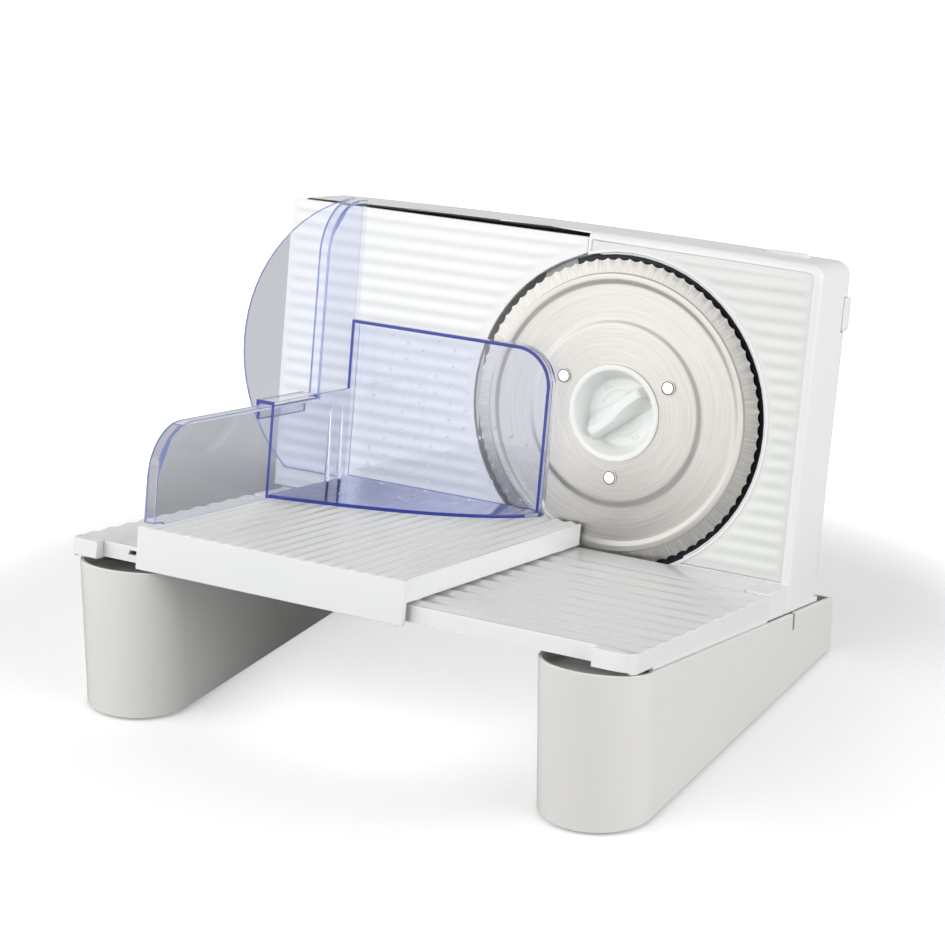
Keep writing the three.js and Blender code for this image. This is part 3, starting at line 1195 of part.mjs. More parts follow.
// The clear fence along the carriage's left, with its tall fin, edge flange and half-round hand guard
function fence() {
  const foot = CARRIAGE_TOP + FIT;
  const front = -BASE_REACH + 5;
  const rear = -FRONT_CLEARANCE;
  const low = CARRIAGE_TOP + FENCE_HEIGHT;
  const high = CARRIAGE_TOP + FIN_HEIGHT;
  const finFront = rear - FIN_DEPTH;
  const profile = (inset) => {
    const shape = new THREE.Shape();
    const corner = FENCE_CORNER - inset;
    const finCorner = FIN_CORNER - inset;
    shape.moveTo(front + inset, foot);
    shape.lineTo(rear, foot);
    shape.lineTo(rear, high - inset);
    shape.lineTo(finFront + inset + finCorner, high - inset);
    shape.absarc(finFront + inset + finCorner, high - inset - finCorner, finCorner, Math.PI / 2, Math.PI);
    shape.lineTo(finFront + inset, low - inset);
    shape.lineTo(front + inset + corner, low - inset);
    shape.absarc(front + inset + corner, low - inset - corner, corner, Math.PI / 2, Math.PI);
    return shape;
  };
  const sheet = slabX(profile(0), fenceFace - FENCE_SHEET, fenceFace, 8);
  const flange = cut(
    slabX(profile(0), fenceFace - FENCE_FLANGE, fenceFace, 8),
    slabX(profile(FENCE_SHEET), fenceFace - FENCE_FLANGE - 1, fenceFace - FENCE_SHEET, 8),
    block(
      fenceFace - FENCE_FLANGE - 1, fenceFace - FENCE_SHEET, front + FENCE_SHEET, rear + 1,
      foot - 1, low - FENCE_SHEET));
  const tongue = block(
    fenceFace - FENCE_SHEET, fenceFace, front + 8, rear - 11, CARRIAGE_TOP - CARRIAGE_SHEET + 1, foot + 1);
  const disc = drumY(GUARD_RADIUS, rear - FENCE_SHEET, rear, fenceFace + GUARD_OFFSET, GUARD_LEVEL, 72);
  const kept = block(
    fenceFace + GUARD_OFFSET - GUARD_RADIUS - 1, fenceFace - FENCE_SHEET / 2,
    rear - FENCE_SHEET - 1, rear + 1, foot, high);
  return join(sheet, flange, tongue, disc.intersect(kept));
}

// The clear food holder: a pusher wall, a side wall that hooks over the fence, and a rounded floor
function foodHolder() {
  const back = -FRONT_CLEARANCE - FIT;
  const left = holderLeft;
  const right = holderLeft + HOLDER_WIDTH;
  const top = holderFloor + HOLDER_HEIGHT;
  const wallOutline = (inset) => {
    const shape = new THREE.Shape();
    const corner = HOLDER_CORNER - inset;
    shape.moveTo(left, holderFloor);
    shape.lineTo(right - inset, holderFloor);
    shape.lineTo(right - inset, top - inset - corner);
    shape.absarc(right - inset - corner, top - inset - corner, corner, 0, Math.PI / 2);
    shape.lineTo(left, top - inset);
    return shape;
  };
  const wall = slabY(wallOutline(0), back - HOLDER_SHEET, back, 8);
  const flange = cut(
    slabY(wallOutline(0), back - HOLDER_FLANGE, back, 8),
    slabY(wallOutline(HOLDER_SHEET), back - HOLDER_FLANGE - 1, back - HOLDER_SHEET, 8),
    block(
      left - 1, right - HOLDER_SHEET, back - HOLDER_FLANGE - 1, back - HOLDER_SHEET,
      holderFloor - 1, holderFloor + HOLDER_SHEET + 1));
  const sideTop = hookTop + HOLDER_SHEET;
  const side = block(left, left + HOLDER_SHEET, back - HOLDER_DEPTH, back, holderFloor, sideTop);
  const strip = block(left, left + HOLDER_SHEET, back - HOLDER_FLANGE, back, hookTop, top);
  const plan = new THREE.Shape();
  plan.moveTo(left, back - HOLDER_DEPTH);
  plan.bezierCurveTo(
    left + HOLDER_WIDTH * 0.5, back - HOLDER_DEPTH * 0.82, right - 12, back - HOLDER_DEPTH * 0.5,
    right, back - HOLDER_FLANGE);
  plan.lineTo(right, back);
  plan.lineTo(left, back);
  const floor = slabZ(plan, holderFloor, holderFloor + HOLDER_SHEET, 12);
  const hookLeft = fenceFace - FENCE_FLANGE - 0.6 - HOLDER_SHEET;
  const hookFront = back - HOLDER_DEPTH;
  const hookRear = hookFront + HOOK_LENGTH;
  const hook = join(
    block(hookLeft, left + HOLDER_SHEET, hookFront, hookRear, hookTop, sideTop),
    block(hookLeft, hookLeft + HOLDER_SHEET, hookFront, hookRear, hookTop - HOOK_DROP, hookTop + 1));
  return join(wall, flange, side, strip, floor, hook);
}

// The legs stand upright under the tilted machine, so their places are turned out of its axes
const lean = radians(TILT);
const upright = (y, z) => [
  y * Math.cos(lean) + z * Math.sin(lean),
  -y * Math.sin(lean) + z * Math.cos(lean),
];
const tiltMatrix = new THREE.Matrix4().makeRotationX(-lean);
const legGround = -TABLE_HEIGHT + FOOT_PROUD;
const legFloorTop = legGround + LEG_FLOOR;
const [legFrontY, legFrontTop] = upright(-BASE_REACH - LEG_FRONT_OVERHANG, -RIM_DROP_FRONT);
const [legRearY, legRearTop] = upright(housingDepth + LEG_REAR_OVERHANG, -RIM_DROP_REAR);
const footPlaces = [legFrontY + LEG_WIDTH / 2, legRearY - FOOT_REAR_INSET];

function tiltedDrum(radius, low, high, x, y, segments) {
  const geometry = new THREE.CylinderGeometry(radius, radius, high - low, segments);
  geometry.rotateX(Math.PI / 2).translate(x, y, (low + high) / 2);
  return solid(geometry.applyMatrix4(tiltMatrix));
}

function legPlan(x, inset) {
  const half = LEG_WIDTH / 2 - inset;
  const shape = new THREE.Shape();
  shape.moveTo(x + half, legRearY - inset);
  shape.lineTo(x - half, legRearY - inset);
  shape.lineTo(x - half, legFrontY + LEG_WIDTH / 2);
  shape.absarc(x, legFrontY + LEG_WIDTH / 2, half, Math.PI, 2 * Math.PI);
  return shape;
}

// How far below the table a leg post starts, so that it reaches the leg's floor
const postFoot = ({ y }) => (legGround + y * Math.sin(lean)) / Math.cos(lean) - 6;

function leg(x) {
  const wedge = slabX(outlineOf([
    [legFrontY - 1, legGround],
    [legRearY + 1, legGround],
    [legRearY + 1, legRearTop],
    [legFrontY - 1, legFrontTop],
  ]), x - LEG_WIDTH, x + LEG_WIDTH);
  const high = legFrontTop + LEG_PROUD;
  const tub = cut(
    slabZ(legPlan(x, 0), legGround, high, 24).intersect(wedge),
    slabZ(legPlan(x, LEG_WALL), legFloorTop, high, 24));
  const aboveGround = slabZ(legPlan(x, LEG_WALL / 2), legGround, high, 14);
  const posts = legPostPlaces.map((place) =>
    tiltedDrum(POST_RADIUS, postFoot(place), place.z - FIT, x, place.y, 14).intersect(aboveGround));
  const wells = legPostPlaces.map((place) =>
    tiltedDrum(SCREW_HEAD + 0.8, postFoot(place) - 20, place.z - FIT - legScrewGrip, x, place.y, 12));
  const holes = legPostPlaces.map((place) =>
    tiltedDrum(SCREW_SHANK + FIT, place.z - FIT - legScrewGrip - 1, place.z + 1, x, place.y, 10));
  const outward = x > baseMiddle ? 1 : -1;
  const rimAt = legFrontTop + (legRearTop - legFrontTop) * (NOTCH_PLACE - legFrontY) / (legRearY - legFrontY);
  const wall = x + outward * LEG_WIDTH / 2;
  const notch = block(
    wall - LEG_WALL - 1, wall + LEG_WALL + 1, NOTCH_PLACE - NOTCH_WIDTH / 2, NOTCH_PLACE + NOTCH_WIDTH / 2,
    rimAt - NOTCH_DEPTH, high);
  const seats = footPlaces.map((y) =>
    drumZ(FOOT_RADIUS + FIT, legGround - 1, legGround + FOOT_SEAT, x, y, 20));
  return cut(join(tub, ...posts), notch, ...wells, ...holes, ...seats);
}

function rubberFoot(x, y) {
  const low = legGround - FOOT_PROUD;
  return turnedZ([
    [0, low],
    [FOOT_RADIUS - 1, low],
    [FOOT_RADIUS, low + 1],
    [FOOT_RADIUS, legGround + FOOT_SEAT - FIT],
    [0, legGround + FOOT_SEAT - FIT],
  ], x, y, 20);
}

function legScrew(x, place) {
  const seat = place.z - FIT - legScrewGrip - FIT;
  return join(
    drumZ(SCREW_HEAD, seat - 2.2, seat, x, place.y, 12),
    drumZ(SCREW_SHANK, seat - 1, place.z + legScrewGrip, x, place.y, 10));
}

// The scene: everything that leans with the machine, and the upright legs with their feet
const machine = new THREE.Group();
machine.rotation.x = -lean;
const stand = new THREE.Group();

machine.add(
  mesh('motor_housing', motorHousing(), WHITE),
  mesh('front_panel', frontPanel(), WHITE),
  mesh('rear_cover', rearCover(), WHITE),
  mesh('post_cover', postCover(), WHITE),
  mesh('cord_gland', cordGland(), DARK),
  mesh('stop_plate', stopPlate(), WHITE),
  mesh('stop_guide_rod_upper', guideRod(guideLevels[0]), STEEL),
  mesh('stop_guide_rod_lower', guideRod(guideLevels[1]), STEEL),
  mesh('guide_bush_upper', guideBush(guideLevels[0]), ACETAL),
  mesh('guide_bush_lower', guideBush(guideLevels[1]), ACETAL),
  mesh('dial_cam', dialCam(), ACETAL),
  mesh('thickness_dial', thicknessDial(), WHITE),
  mesh('blade', bladeDisc(), STEEL),
  mesh('blade_gear', bladeGear(), ACETAL),
  mesh('spindle_bush', spindleBush(), BRASS),
  mesh('blade_spindle', bladeSpindle(), STEEL),
  mesh('blade_lock_knob', lockKnob(), WHITE),
  mesh('drive_plate', drivePlate(), ZINC),
  mesh('motor', motor(), ZINC),
  mesh('motor_shaft', motorShaft(), STEEL),
  mesh('worm', worm(), BRASS),
  mesh('worm_bearing', wormBearing(), BRASS),
  mesh('motor_bracket', motorBracket(), ZINC),
  mesh('power_button', powerButton(), WHITE),
  mesh('power_spring', powerSpring(), STEEL),
  mesh('power_switch', powerSwitch(), DARK),
  mesh('safety_button', safetyButton(), WHITE),
  mesh('safety_spring', safetySpring(), STEEL),
  mesh('safety_switch', safetySwitch(), DARK),
  mesh('base_plate', basePlate(), WHITE),
  mesh('hinge_pin_right', hingePins.right(), STEEL),
  mesh('hinge_pin_left', hingePins.left(), STEEL),
  mesh('carriage', carriage(), WHITE),
  mesh('fence', fence(), CLEAR_BLUE),
  mesh('food_holder', foodHolder(), CLEAR_BLUE),
);

RIVET_ANGLES.forEach((angle, i) => machine.add(mesh(`blade_rivet_${i + 1}`, rivet(angle), STEEL)));
coverPosts.forEach(([x, z], i) =>
  machine.add(mesh(`cover_screw_${i + 1}`, screwY(x, z, housingDepth, WALL + 10), ZINC)));
postScrews.forEach(([x, z], i) =>
  machine.add(mesh(`post_screw_${i + 1}`, screwY(x, z, housingDepth, WALL + 10), ZINC)));
drivePosts.forEach(([x, z], i) =>
  machine.add(mesh(`drive_screw_${i + 1}`, screwY(x, z, driveFront + DRIVE_PLATE, DRIVE_PLATE + 10), ZINC)));

for (const [side, x] of Object.entries(legCentres)) {
  stand.add(mesh(`leg_${side}`, leg(x), WHITE));
  footPlaces.forEach((y, i) => {
    stand.add(mesh(`foot_${side}_${['front', 'rear'][i]}`, rubberFoot(x, y), RUBBER));
  });
  legPostPlaces.forEach((place, i) => {
    machine.add(mesh(`leg_screw_${side}_${['front', 'rear'][i]}`, legScrew(x, place), ZINC));
  });
}

// The finished slicer stands on its feet, with the origin under the middle of its box
const slicer = new THREE.Group();
slicer.add(machine, stand);
const extent = new THREE.Box3().setFromObject(slicer, true);
const middle = extent.getCenter(new THREE.Vector3());
slicer.position.set(-middle.x, -middle.y, -extent.min.z);

export default slicer;
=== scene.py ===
# %% [markdown]
# # An electric food slicer
# The machine is already built as solids: housing, blade, carriage, legs and all the moving parts.
# This lesson loads those solids as a fixed frame and dresses them, so that the white mouldings, the
# brushed blade and the clear blue guards look like the real ones from every side.

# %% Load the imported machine
import json
import math

import bmesh
import bpy
import numpy as np
from mathutils import Matrix, Vector
from mathutils.bvhtree import BVHTree


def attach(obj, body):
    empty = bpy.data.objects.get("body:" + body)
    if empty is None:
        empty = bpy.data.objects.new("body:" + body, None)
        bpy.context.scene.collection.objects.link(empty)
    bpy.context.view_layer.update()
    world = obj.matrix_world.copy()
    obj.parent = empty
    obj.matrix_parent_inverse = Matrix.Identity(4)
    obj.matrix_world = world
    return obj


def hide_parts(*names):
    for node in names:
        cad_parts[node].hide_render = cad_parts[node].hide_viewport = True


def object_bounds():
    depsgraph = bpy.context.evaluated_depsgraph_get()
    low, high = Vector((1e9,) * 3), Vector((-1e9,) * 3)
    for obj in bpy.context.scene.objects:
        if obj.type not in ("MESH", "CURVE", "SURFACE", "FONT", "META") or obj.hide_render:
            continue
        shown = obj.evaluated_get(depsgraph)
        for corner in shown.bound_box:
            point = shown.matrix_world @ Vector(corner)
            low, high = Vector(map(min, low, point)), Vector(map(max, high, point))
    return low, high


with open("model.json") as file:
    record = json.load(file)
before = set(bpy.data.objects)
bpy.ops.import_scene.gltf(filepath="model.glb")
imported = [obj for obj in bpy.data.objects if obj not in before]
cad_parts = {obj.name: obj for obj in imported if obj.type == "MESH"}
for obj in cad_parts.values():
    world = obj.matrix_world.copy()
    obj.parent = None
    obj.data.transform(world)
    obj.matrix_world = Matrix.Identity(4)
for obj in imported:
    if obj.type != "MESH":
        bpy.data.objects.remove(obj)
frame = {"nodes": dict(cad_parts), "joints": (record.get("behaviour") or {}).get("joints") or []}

scene = bpy.context.scene
scene.view_settings.view_transform = "Standard"
cad_low, cad_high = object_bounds()
print("solids loaded:", len(frame["nodes"]), "box in mm:", [round(v * 1000, 1) for v in cad_high - cad_low])

# %% [markdown]
# The machine leans back on upright legs. It is easier to think in the machine's own axes, in millimetres:
# x along the blade, y to the rear along the axle, z up from the table, with the axle over x = 0.
# One matrix takes those axes to the frame's metres.

# %% The machine's axes
TILT = math.radians(10.2)
LEAN = Matrix.Rotation(-TILT, 4, "X")
AXLE_LEVEL = 77.0
TABLE_MIDDLE = -50.5
axle = next(joint for joint in frame["joints"] if joint["name"] == "blade_spin")
ORIGIN = Vector(axle["pos_m"]) - (LEAN @ Vector((0.0, 10.0, AXLE_LEVEL))) / 1000
MACHINE = Matrix.Translation(ORIGIN) @ LEAN @ Matrix.Scale(0.001, 4)
TO_MACHINE = MACHINE.inverted()
print("origin of the machine's axes in mm:", [round(v * 1000, 2) for v in ORIGIN])

# %% [markdown]
# The camera comes first, because everything else is judged through it. The picture was taken with a longish
# lens from the right, a little above the table, so the verticals hardly lean and no lens shift is needed.

# %% Camera
CAMERA_AZIMUTH, CAMERA_ELEVATION, CAMERA_DISTANCE = 28.67, 19.62, 1.402
CAMERA_TARGET = ORIGIN + Vector((-47.7, -62.9, 56.8)) / 1000
LENS, SENSOR = 99.7, 36.0


def from_angles(azimuth, elevation):
    turn, rise = math.radians(azimuth), math.radians(elevation)
    return Vector((math.sin(turn) * math.cos(rise), -math.cos(turn) * math.cos(rise), math.sin(rise)))


def studio_camera():
    back = from_angles(CAMERA_AZIMUTH, CAMERA_ELEVATION)
    lens = bpy.data.cameras.new("photo_camera")
    lens.sensor_width, lens.lens = SENSOR, LENS
    lens.clip_start, lens.clip_end = 0.05, 50.0
    camera = bpy.data.objects.new("photo_camera", lens)
    camera.location = CAMERA_TARGET + back * CAMERA_DISTANCE
    camera.rotation_euler = back.to_track_quat("Z", "Y").to_euler()
    scene.collection.objects.link(camera)
    scene.camera = camera
    return camera


print("camera at", [round(v, 3) for v in studio_camera().location])

# %% [markdown]
# Finishes and several shapes are made of nodes. A few helpers lay them out: one fills a node's sockets with
# numbers or with the outputs of other nodes, one adds a node, and two add nodes that do sums.

# %% Helpers for nodes
def fill(tree, node, inputs):
    for key, value in inputs.items():
        if isinstance(value, bpy.types.NodeSocket):
            tree.links.new(value, node.inputs[key])
        else:
            node.inputs[key].default_value = value
    return node


def add_node(tree, kind, inputs=None, **settings):
    node = tree.nodes.new(kind)
    for key, value in settings.items():
        setattr(node, key, value)
    return fill(tree, node, inputs or {})


def calc(tree, operation, first, second=0.0, third=0.0):
    values = {0: first, 1: second, 2: third}
    return add_node(tree, "ShaderNodeMath", values, operation=operation).outputs["Value"]


def vector_calc(tree, operation, inputs):
    return add_node(tree, "ShaderNodeVectorMath", inputs, operation=operation).outputs


def noise(tree, vector, scale, detail=2.0, roughness=0.5):
    return add_node(tree, "ShaderNodeTexNoise", {
        "Vector": vector, "Scale": scale, "Detail": detail, "Roughness": roughness}).outputs["Fac"]


def between(tree, value, low, high, start=0.3, end=0.7, **settings):
    return add_node(tree, "ShaderNodeMapRange", {
        "Value": value, "From Min": start, "From Max": end, "To Min": low, "To Max": high},
        **settings).outputs["Result"]


print("helpers for nodes ready")

# %% [markdown]
# Moulded white plastic is never one flat white. It is slightly warm or cool from place to place, its gloss
# changes with the tool that moulded it, and its skin has a very fine grain. Three noises on Object
# coordinates give those three things, at the sizes they have on the real part, and all of them are faint.

# %% Finishes for mouldings
def new_finish(name):
    material = bpy.data.materials.new(name)
    material.use_nodes = True
    tree = material.node_tree
    place = add_node(tree, "ShaderNodeTexCoord").outputs["Object"]
    return material, tree, tree.nodes["Principled BSDF"], place


def two_tones(tree, value, first, second):
    return add_node(tree, "ShaderNodeMix", {
        "Factor": between(tree, value, 0.0, 1.0), "A": (*first, 1.0), "B": (*second, 1.0)},
        data_type="RGBA").outputs["Result"]


def roughen(tree, shader, height, depth, strength):
    bump = add_node(tree, "ShaderNodeBump", {"Height": height, "Distance": depth, "Strength": strength})
    fill(tree, shader, {"Normal": bump.outputs["Normal"]})


def moulded(name, first, second, gloss, grain=0.02, metallic=0.0):
    material, tree, shader, place = new_finish(name)
    fill(tree, shader, {
        "Metallic": metallic,
        "Base Color": two_tones(tree, noise(tree, place, 14.0), first, second),
        "Roughness": between(tree, noise(tree, place, 60.0), *gloss)})
    roughen(tree, shader, noise(tree, place, 1600.0, 3.0), 0.00004, grain)
    return material


WHITE = moulded("white_moulding", (0.775, 0.78, 0.778), (0.79, 0.792, 0.785), (0.29, 0.34))
PANEL_WHITE = moulded("panel_moulding", (0.665, 0.68, 0.655), (0.68, 0.69, 0.67), (0.29, 0.34))
LEG_WHITE = moulded("leg_moulding", (0.735, 0.727, 0.705), (0.75, 0.742, 0.72), (0.13, 0.16), 0.01)
TRAY_WHITE = moulded("tray_moulding", (0.755, 0.765, 0.77), (0.77, 0.775, 0.775), (0.14, 0.18), 0.01)
KNOB_WHITE = moulded("knob_moulding", (0.745, 0.765, 0.745), (0.765, 0.78, 0.76), (0.34, 0.4))
# Painted shade: grey for white plastic in shadow in the recess beside the stop plate, near black for the blade
# well, dark for the slit over the stop plate.
RECESS_PAINTED_SHADE = moulded("recess_painted_shade", (0.42, 0.43, 0.44), (0.45, 0.455, 0.46), (0.5, 0.6))
WELL_PAINTED_SHADE = moulded("blade_well_painted_shade", (0.012, 0.015, 0.021), (0.018, 0.021, 0.028), (0.5, 0.6))
SLIT_PAINTED_SHADE = moulded("slit_painted_shade", (0.02, 0.013, 0.01), (0.03, 0.02, 0.016), (0.6, 0.7))
# Dark plastic for the cord gland and the switches, also laid in the rivets' grooves as painted shade.
DARK_PLASTIC_AND_PAINTED_SHADE = moulded("dark_moulding_and_painted_shade", (0.022, 0.023, 0.026), (0.03, 0.031, 0.035), (0.4, 0.5), 0.06)
GREY = moulded("grey_moulding", (0.26, 0.27, 0.29), (0.3, 0.31, 0.33), (0.4, 0.48), 0.05)
ACETAL = moulded("natural_acetal", (0.72, 0.69, 0.6), (0.76, 0.73, 0.65), (0.32, 0.42))
RUBBER = moulded("foot_rubber", (0.035, 0.035, 0.037), (0.05, 0.05, 0.052), (0.75, 0.88), 0.3)
BRASS = moulded("turned_brass", (0.56, 0.4, 0.13), (0.62, 0.45, 0.16), (0.28, 0.36), 0.1, 1.0)
ZINC = moulded("zinc_plate", (0.4, 0.41, 0.43), (0.48, 0.49, 0.5), (0.32, 0.44), 0.1, 1.0)
RIVET = moulded("polished_rivet", (0.83, 0.82, 0.79), (0.87, 0.86, 0.83), (0.3, 0.36), 0.02, 0.5)
STEEL = moulded("bright_steel", (0.78, 0.77, 0.75), (0.84, 0.83, 0.81), (0.2, 0.28), 0.03, 1.0)
print("finishes:", len(bpy.data.materials))

# %% [markdown]
# The guards are cast in clear plastic with a little blue dye. Through the thin sheet the dye hardly shows, so
# its faces have only a faint tint. One looks through more plastic at the holder's back and floor, which have
# a stronger tint. Light that runs along the sheet and leaves at a cut edge has passed a lot of dye, and the
# edge scatters it, so edges have a deep blue of their own. Only rays from the camera, and rays already bent by
# the plastic, see it bend light. All others pass straight through, as clear plastic throws a faint shadow.

# %% Clear blue plastic
LIT = (0.994, 0.995, 1.0)
SMOOTH, SAWN = (0.02, 0.04), (0.3, 0.4)


def clear_plastic(name, colour, bend, skin, shade=LIT, through=1.0):
    material, tree, shader, place = new_finish(name)
    fill(tree, shader, {
        "Base Color": (*colour, 1.0), "Transmission Weight": through, "IOR": bend,
        "Coat Weight": 0.6, "Coat Roughness": 0.04, "Coat IOR": 1.5,
        "Roughness": between(tree, noise(tree, place, 60.0), *skin)})
    roughen(tree, shader, noise(tree, place, 40.0), 0.0003, 0.04)
    rays = add_node(tree, "ShaderNodeLightPath").outputs
    seen = calc(tree, "MAXIMUM", rays["Is Camera Ray"], rays["Is Transmission Ray"])
    lit = add_node(tree, "ShaderNodeBsdfTransparent", {"Color": (*shade, 1.0)})
    mix = add_node(tree, "ShaderNodeMixShader", {0: seen, 1: lit.outputs["BSDF"], 2: shader.outputs["BSDF"]})
    fill(tree, tree.nodes["Material Output"], {"Surface": mix.outputs["Shader"]})
    return material


HOLDER_BEND, FENCE_BEND, DOME_BEND = 1.24, 1.12, 1.55
CLEAR_HOLDER = clear_plastic("clear_blue_holder", (0.82, 0.84, 0.915), HOLDER_BEND, SMOOTH)
CLEAR_FENCE = clear_plastic("clear_blue_fence", (0.845, 0.86, 0.93), FENCE_BEND, (0.03, 0.06))
HOLDER_BACK = clear_plastic("holder_back_wall", (0.62, 0.65, 0.79), HOLDER_BEND, SMOOTH)
HOLDER_EDGE = clear_plastic(
    "holder_cut_edge", (0.02, 0.032, 0.27), HOLDER_BEND, SAWN, (0.8, 0.83, 0.95), 0.05)
FENCE_EDGE = clear_plastic("fence_cut_edge", (0.2, 0.26, 0.58), FENCE_BEND, SAWN, (0.9, 0.92, 0.98), 0.4)
HOLDER_DOME = clear_plastic("holder_domes", (0.6, 0.64, 0.8), DOME_BEND, SMOOTH, LIT, 0.9)
HOLDER_FLOOR = clear_plastic("holder_floor", (0.08, 0.13, 0.7), HOLDER_BEND, SMOOTH, (0.9, 0.92, 0.97))
print("clear finishes:", CLEAR_HOLDER.name, CLEAR_FENCE.name)

# %% [markdown]
# The blade is brushed while it spins, so its scratches are circles round the axle, and its bevel is ground
# across, so its scratches there run outwards. A Mapping node moves Object coordinates to the axle; the radius
# and the direction from the axle then make both patterns, with no seam anywhere.

# %% Brushed steel
BEVEL_BLEND = (77.2, 78.0)


def brushed_steel(name):
    material, tree, shader, place = new_finish(name)
    hub = MACHINE @ Vector((0.0, 0.0, AXLE_LEVEL))
    level = add_node(tree, "ShaderNodeMapping", {
        "Vector": place, "Location": hub, "Rotation": (-TILT, 0.0, 0.0), "Scale": (0.001, 0.001, 0.001)},
        vector_type="TEXTURE").outputs["Vector"]
    parts = add_node(tree, "ShaderNodeSeparateXYZ", {"Vector": level}).outputs
    flat = add_node(tree, "ShaderNodeCombineXYZ", {"X": parts["X"], "Z": parts["Z"]}).outputs["Vector"]
    radius = vector_calc(tree, "LENGTH", {0: flat})["Value"]
    direction = vector_calc(tree, "NORMALIZE", {0: flat})["Vector"]

    def streaks(along, across, detail):
        spread = vector_calc(tree, "SCALE", {0: direction, "Scale": along})["Vector"]
        lift = add_node(tree, "ShaderNodeCombineXYZ", {"Y": calc(tree, "MULTIPLY", radius, across)})
        total = vector_calc(tree, "ADD", {0: spread, 1: lift.outputs["Vector"]})["Vector"]
        return noise(tree, total, 1.0, detail, 0.7)

    brushed = add_node(tree, "ShaderNodeMix", {
        "Factor": between(tree, radius, 0.0, 1.0, *BEVEL_BLEND),
        "A": streaks(1.6, 1.7, 6.0), "B": streaks(60.0, 0.05, 3.0)}).outputs["Result"]
    away = vector_calc(tree, "SUBTRACT", {0: place, 1: hub})["Vector"]
    tangent = vector_calc(tree, "CROSS_PRODUCT", {0: LEAN @ Vector((0.0, 1.0, 0.0)), 1: away})["Vector"]
    fill(tree, shader, {
        "Metallic": 1.0, "Anisotropic": 0.6, "Tangent": tangent,
        "Base Color": two_tones(tree, brushed, (0.43, 0.415, 0.39), (0.62, 0.603, 0.572)),
        "Roughness": between(tree, brushed, 0.34, 0.46)})
    roughen(tree, shader, brushed, 0.00008, 0.12)
    return material


BLADE_STEEL = brushed_steel("brushed_blade_steel")
print("brushed steel ready")

# %% [markdown]
# A dressed piece is a mesh with its finishes, seated on the body that carries it. Many shapes here are rows of
# rings joined up like a hose and closed at both ends, so one helper makes them all.

# %% Helpers for meshes
def object_from(name, mesh):
    thing = bpy.data.objects.new(name, mesh)
    scene.collection.objects.link(thing)
    return thing


def as_mesh(name, bm):
    mesh = bpy.data.meshes.new(name)
    bm.to_mesh(mesh)
    bm.free()
    return mesh


def mesh_of(name, points, faces=(), **attributes):
    mesh = bpy.data.meshes.new(name)
    mesh.from_pydata(points, [], faces)
    for label, values in attributes.items():
        vector = len(np.shape(values)) == 2
        layer = mesh.attributes.new(label, "FLOAT_VECTOR" if vector else "FLOAT", "POINT")
        layer.data.foreach_set("vector" if vector else "value", np.ravel(values))
    return mesh


def outward_mesh(name, points, faces):
    mesh = mesh_of(name, points, faces)
    bm = bmesh.new()
    bm.from_mesh(mesh)
    bmesh.ops.recalc_face_normals(bm, faces=bm.faces)
    bm.to_mesh(mesh)
    bm.free()
    return mesh


def ringed_mesh(name, rings):
    count = len(rings[0])
    points = [p for ring in rings for p in ring]
    faces = []
    for k in range(len(rings) - 1):
        for i in range(count):
            j = (i + 1) % count
            faces.append((k * count + i, k * count + j, (k + 1) * count + j, (k + 1) * count + i))
    faces.append(tuple(range(count))[::-1])
    faces.append(tuple(range(len(points) - count, len(points))))
    return outward_mesh(name, points, faces)


def settle(name, bm, looks, crease=50.0):
    for face in bm.faces:
        face.smooth = True
    for edge in bm.edges:
        edge.smooth = not (edge.is_manifold and edge.calc_face_angle(0.0) > math.radians(crease))
    mesh = as_mesh(name, bm)
    for look in looks:
        mesh.materials.append(look)
    thing = object_from(name, mesh)
    weight = thing.modifiers.new("flat_faces_stay_flat", "WEIGHTED_NORMAL")
    weight.keep_sharp = True
    weight.weight = 60
    return thing


def seat(piece, body, slot, *nodes):
    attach(piece, body)
    if nodes:
        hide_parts(*nodes)
    return piece


print("helpers for meshes ready")

# %% [markdown]
# Every moulding has small radii on its edges, and they catch the light. A copy of a solid is merged, its flat
# faces are joined up again, and each sharp edge gets a small round. Where two edges are so close that their
# rounds would fold the skin over itself, those edges are found by comparing with the solid, and stay sharp.

# %% Helpers for rounded copies
SHARP = math.radians(50.0)
NEAR_FOLD = 0.0008
MENDS = 7
SHEET_LIMIT = 2.06


def merged_copy(node):
    bm = bmesh.new()
    bm.from_mesh(frame["nodes"][node].data)
    bmesh.ops.remove_doubles(bm, verts=bm.verts, dist=2e-6)
    return bm


def node_box(node):
    spots = [TO_MACHINE @ v.co for v in frame["nodes"][node].data.vertices]
    low = Vector([min(v[i] for v in spots) for i in range(3)])
    high = Vector([max(v[i] for v in spots) for i in range(3)])
    return low, high


def reach_to_edge(spot, edge):
    start, end = (vert.co for vert in edge.verts)
    along = end - start
    share = min(1.0, max(0.0, (spot - start).dot(along) / max(along.length_squared, 1e-18)))
    return (spot - start - along * share).length


def folded_spots(bm, skin):
    found = []
    for face in bm.faces:
        spot = face.calc_center_median()
        _, facing, _, gap = skin.find_nearest(spot)
        if face.calc_area() > 1e-8 and (face.normal.dot(facing) < 0.2 or gap > NEAR_FOLD):
            found += [spot] + [vert.co.copy() for vert in face.verts]
    return found


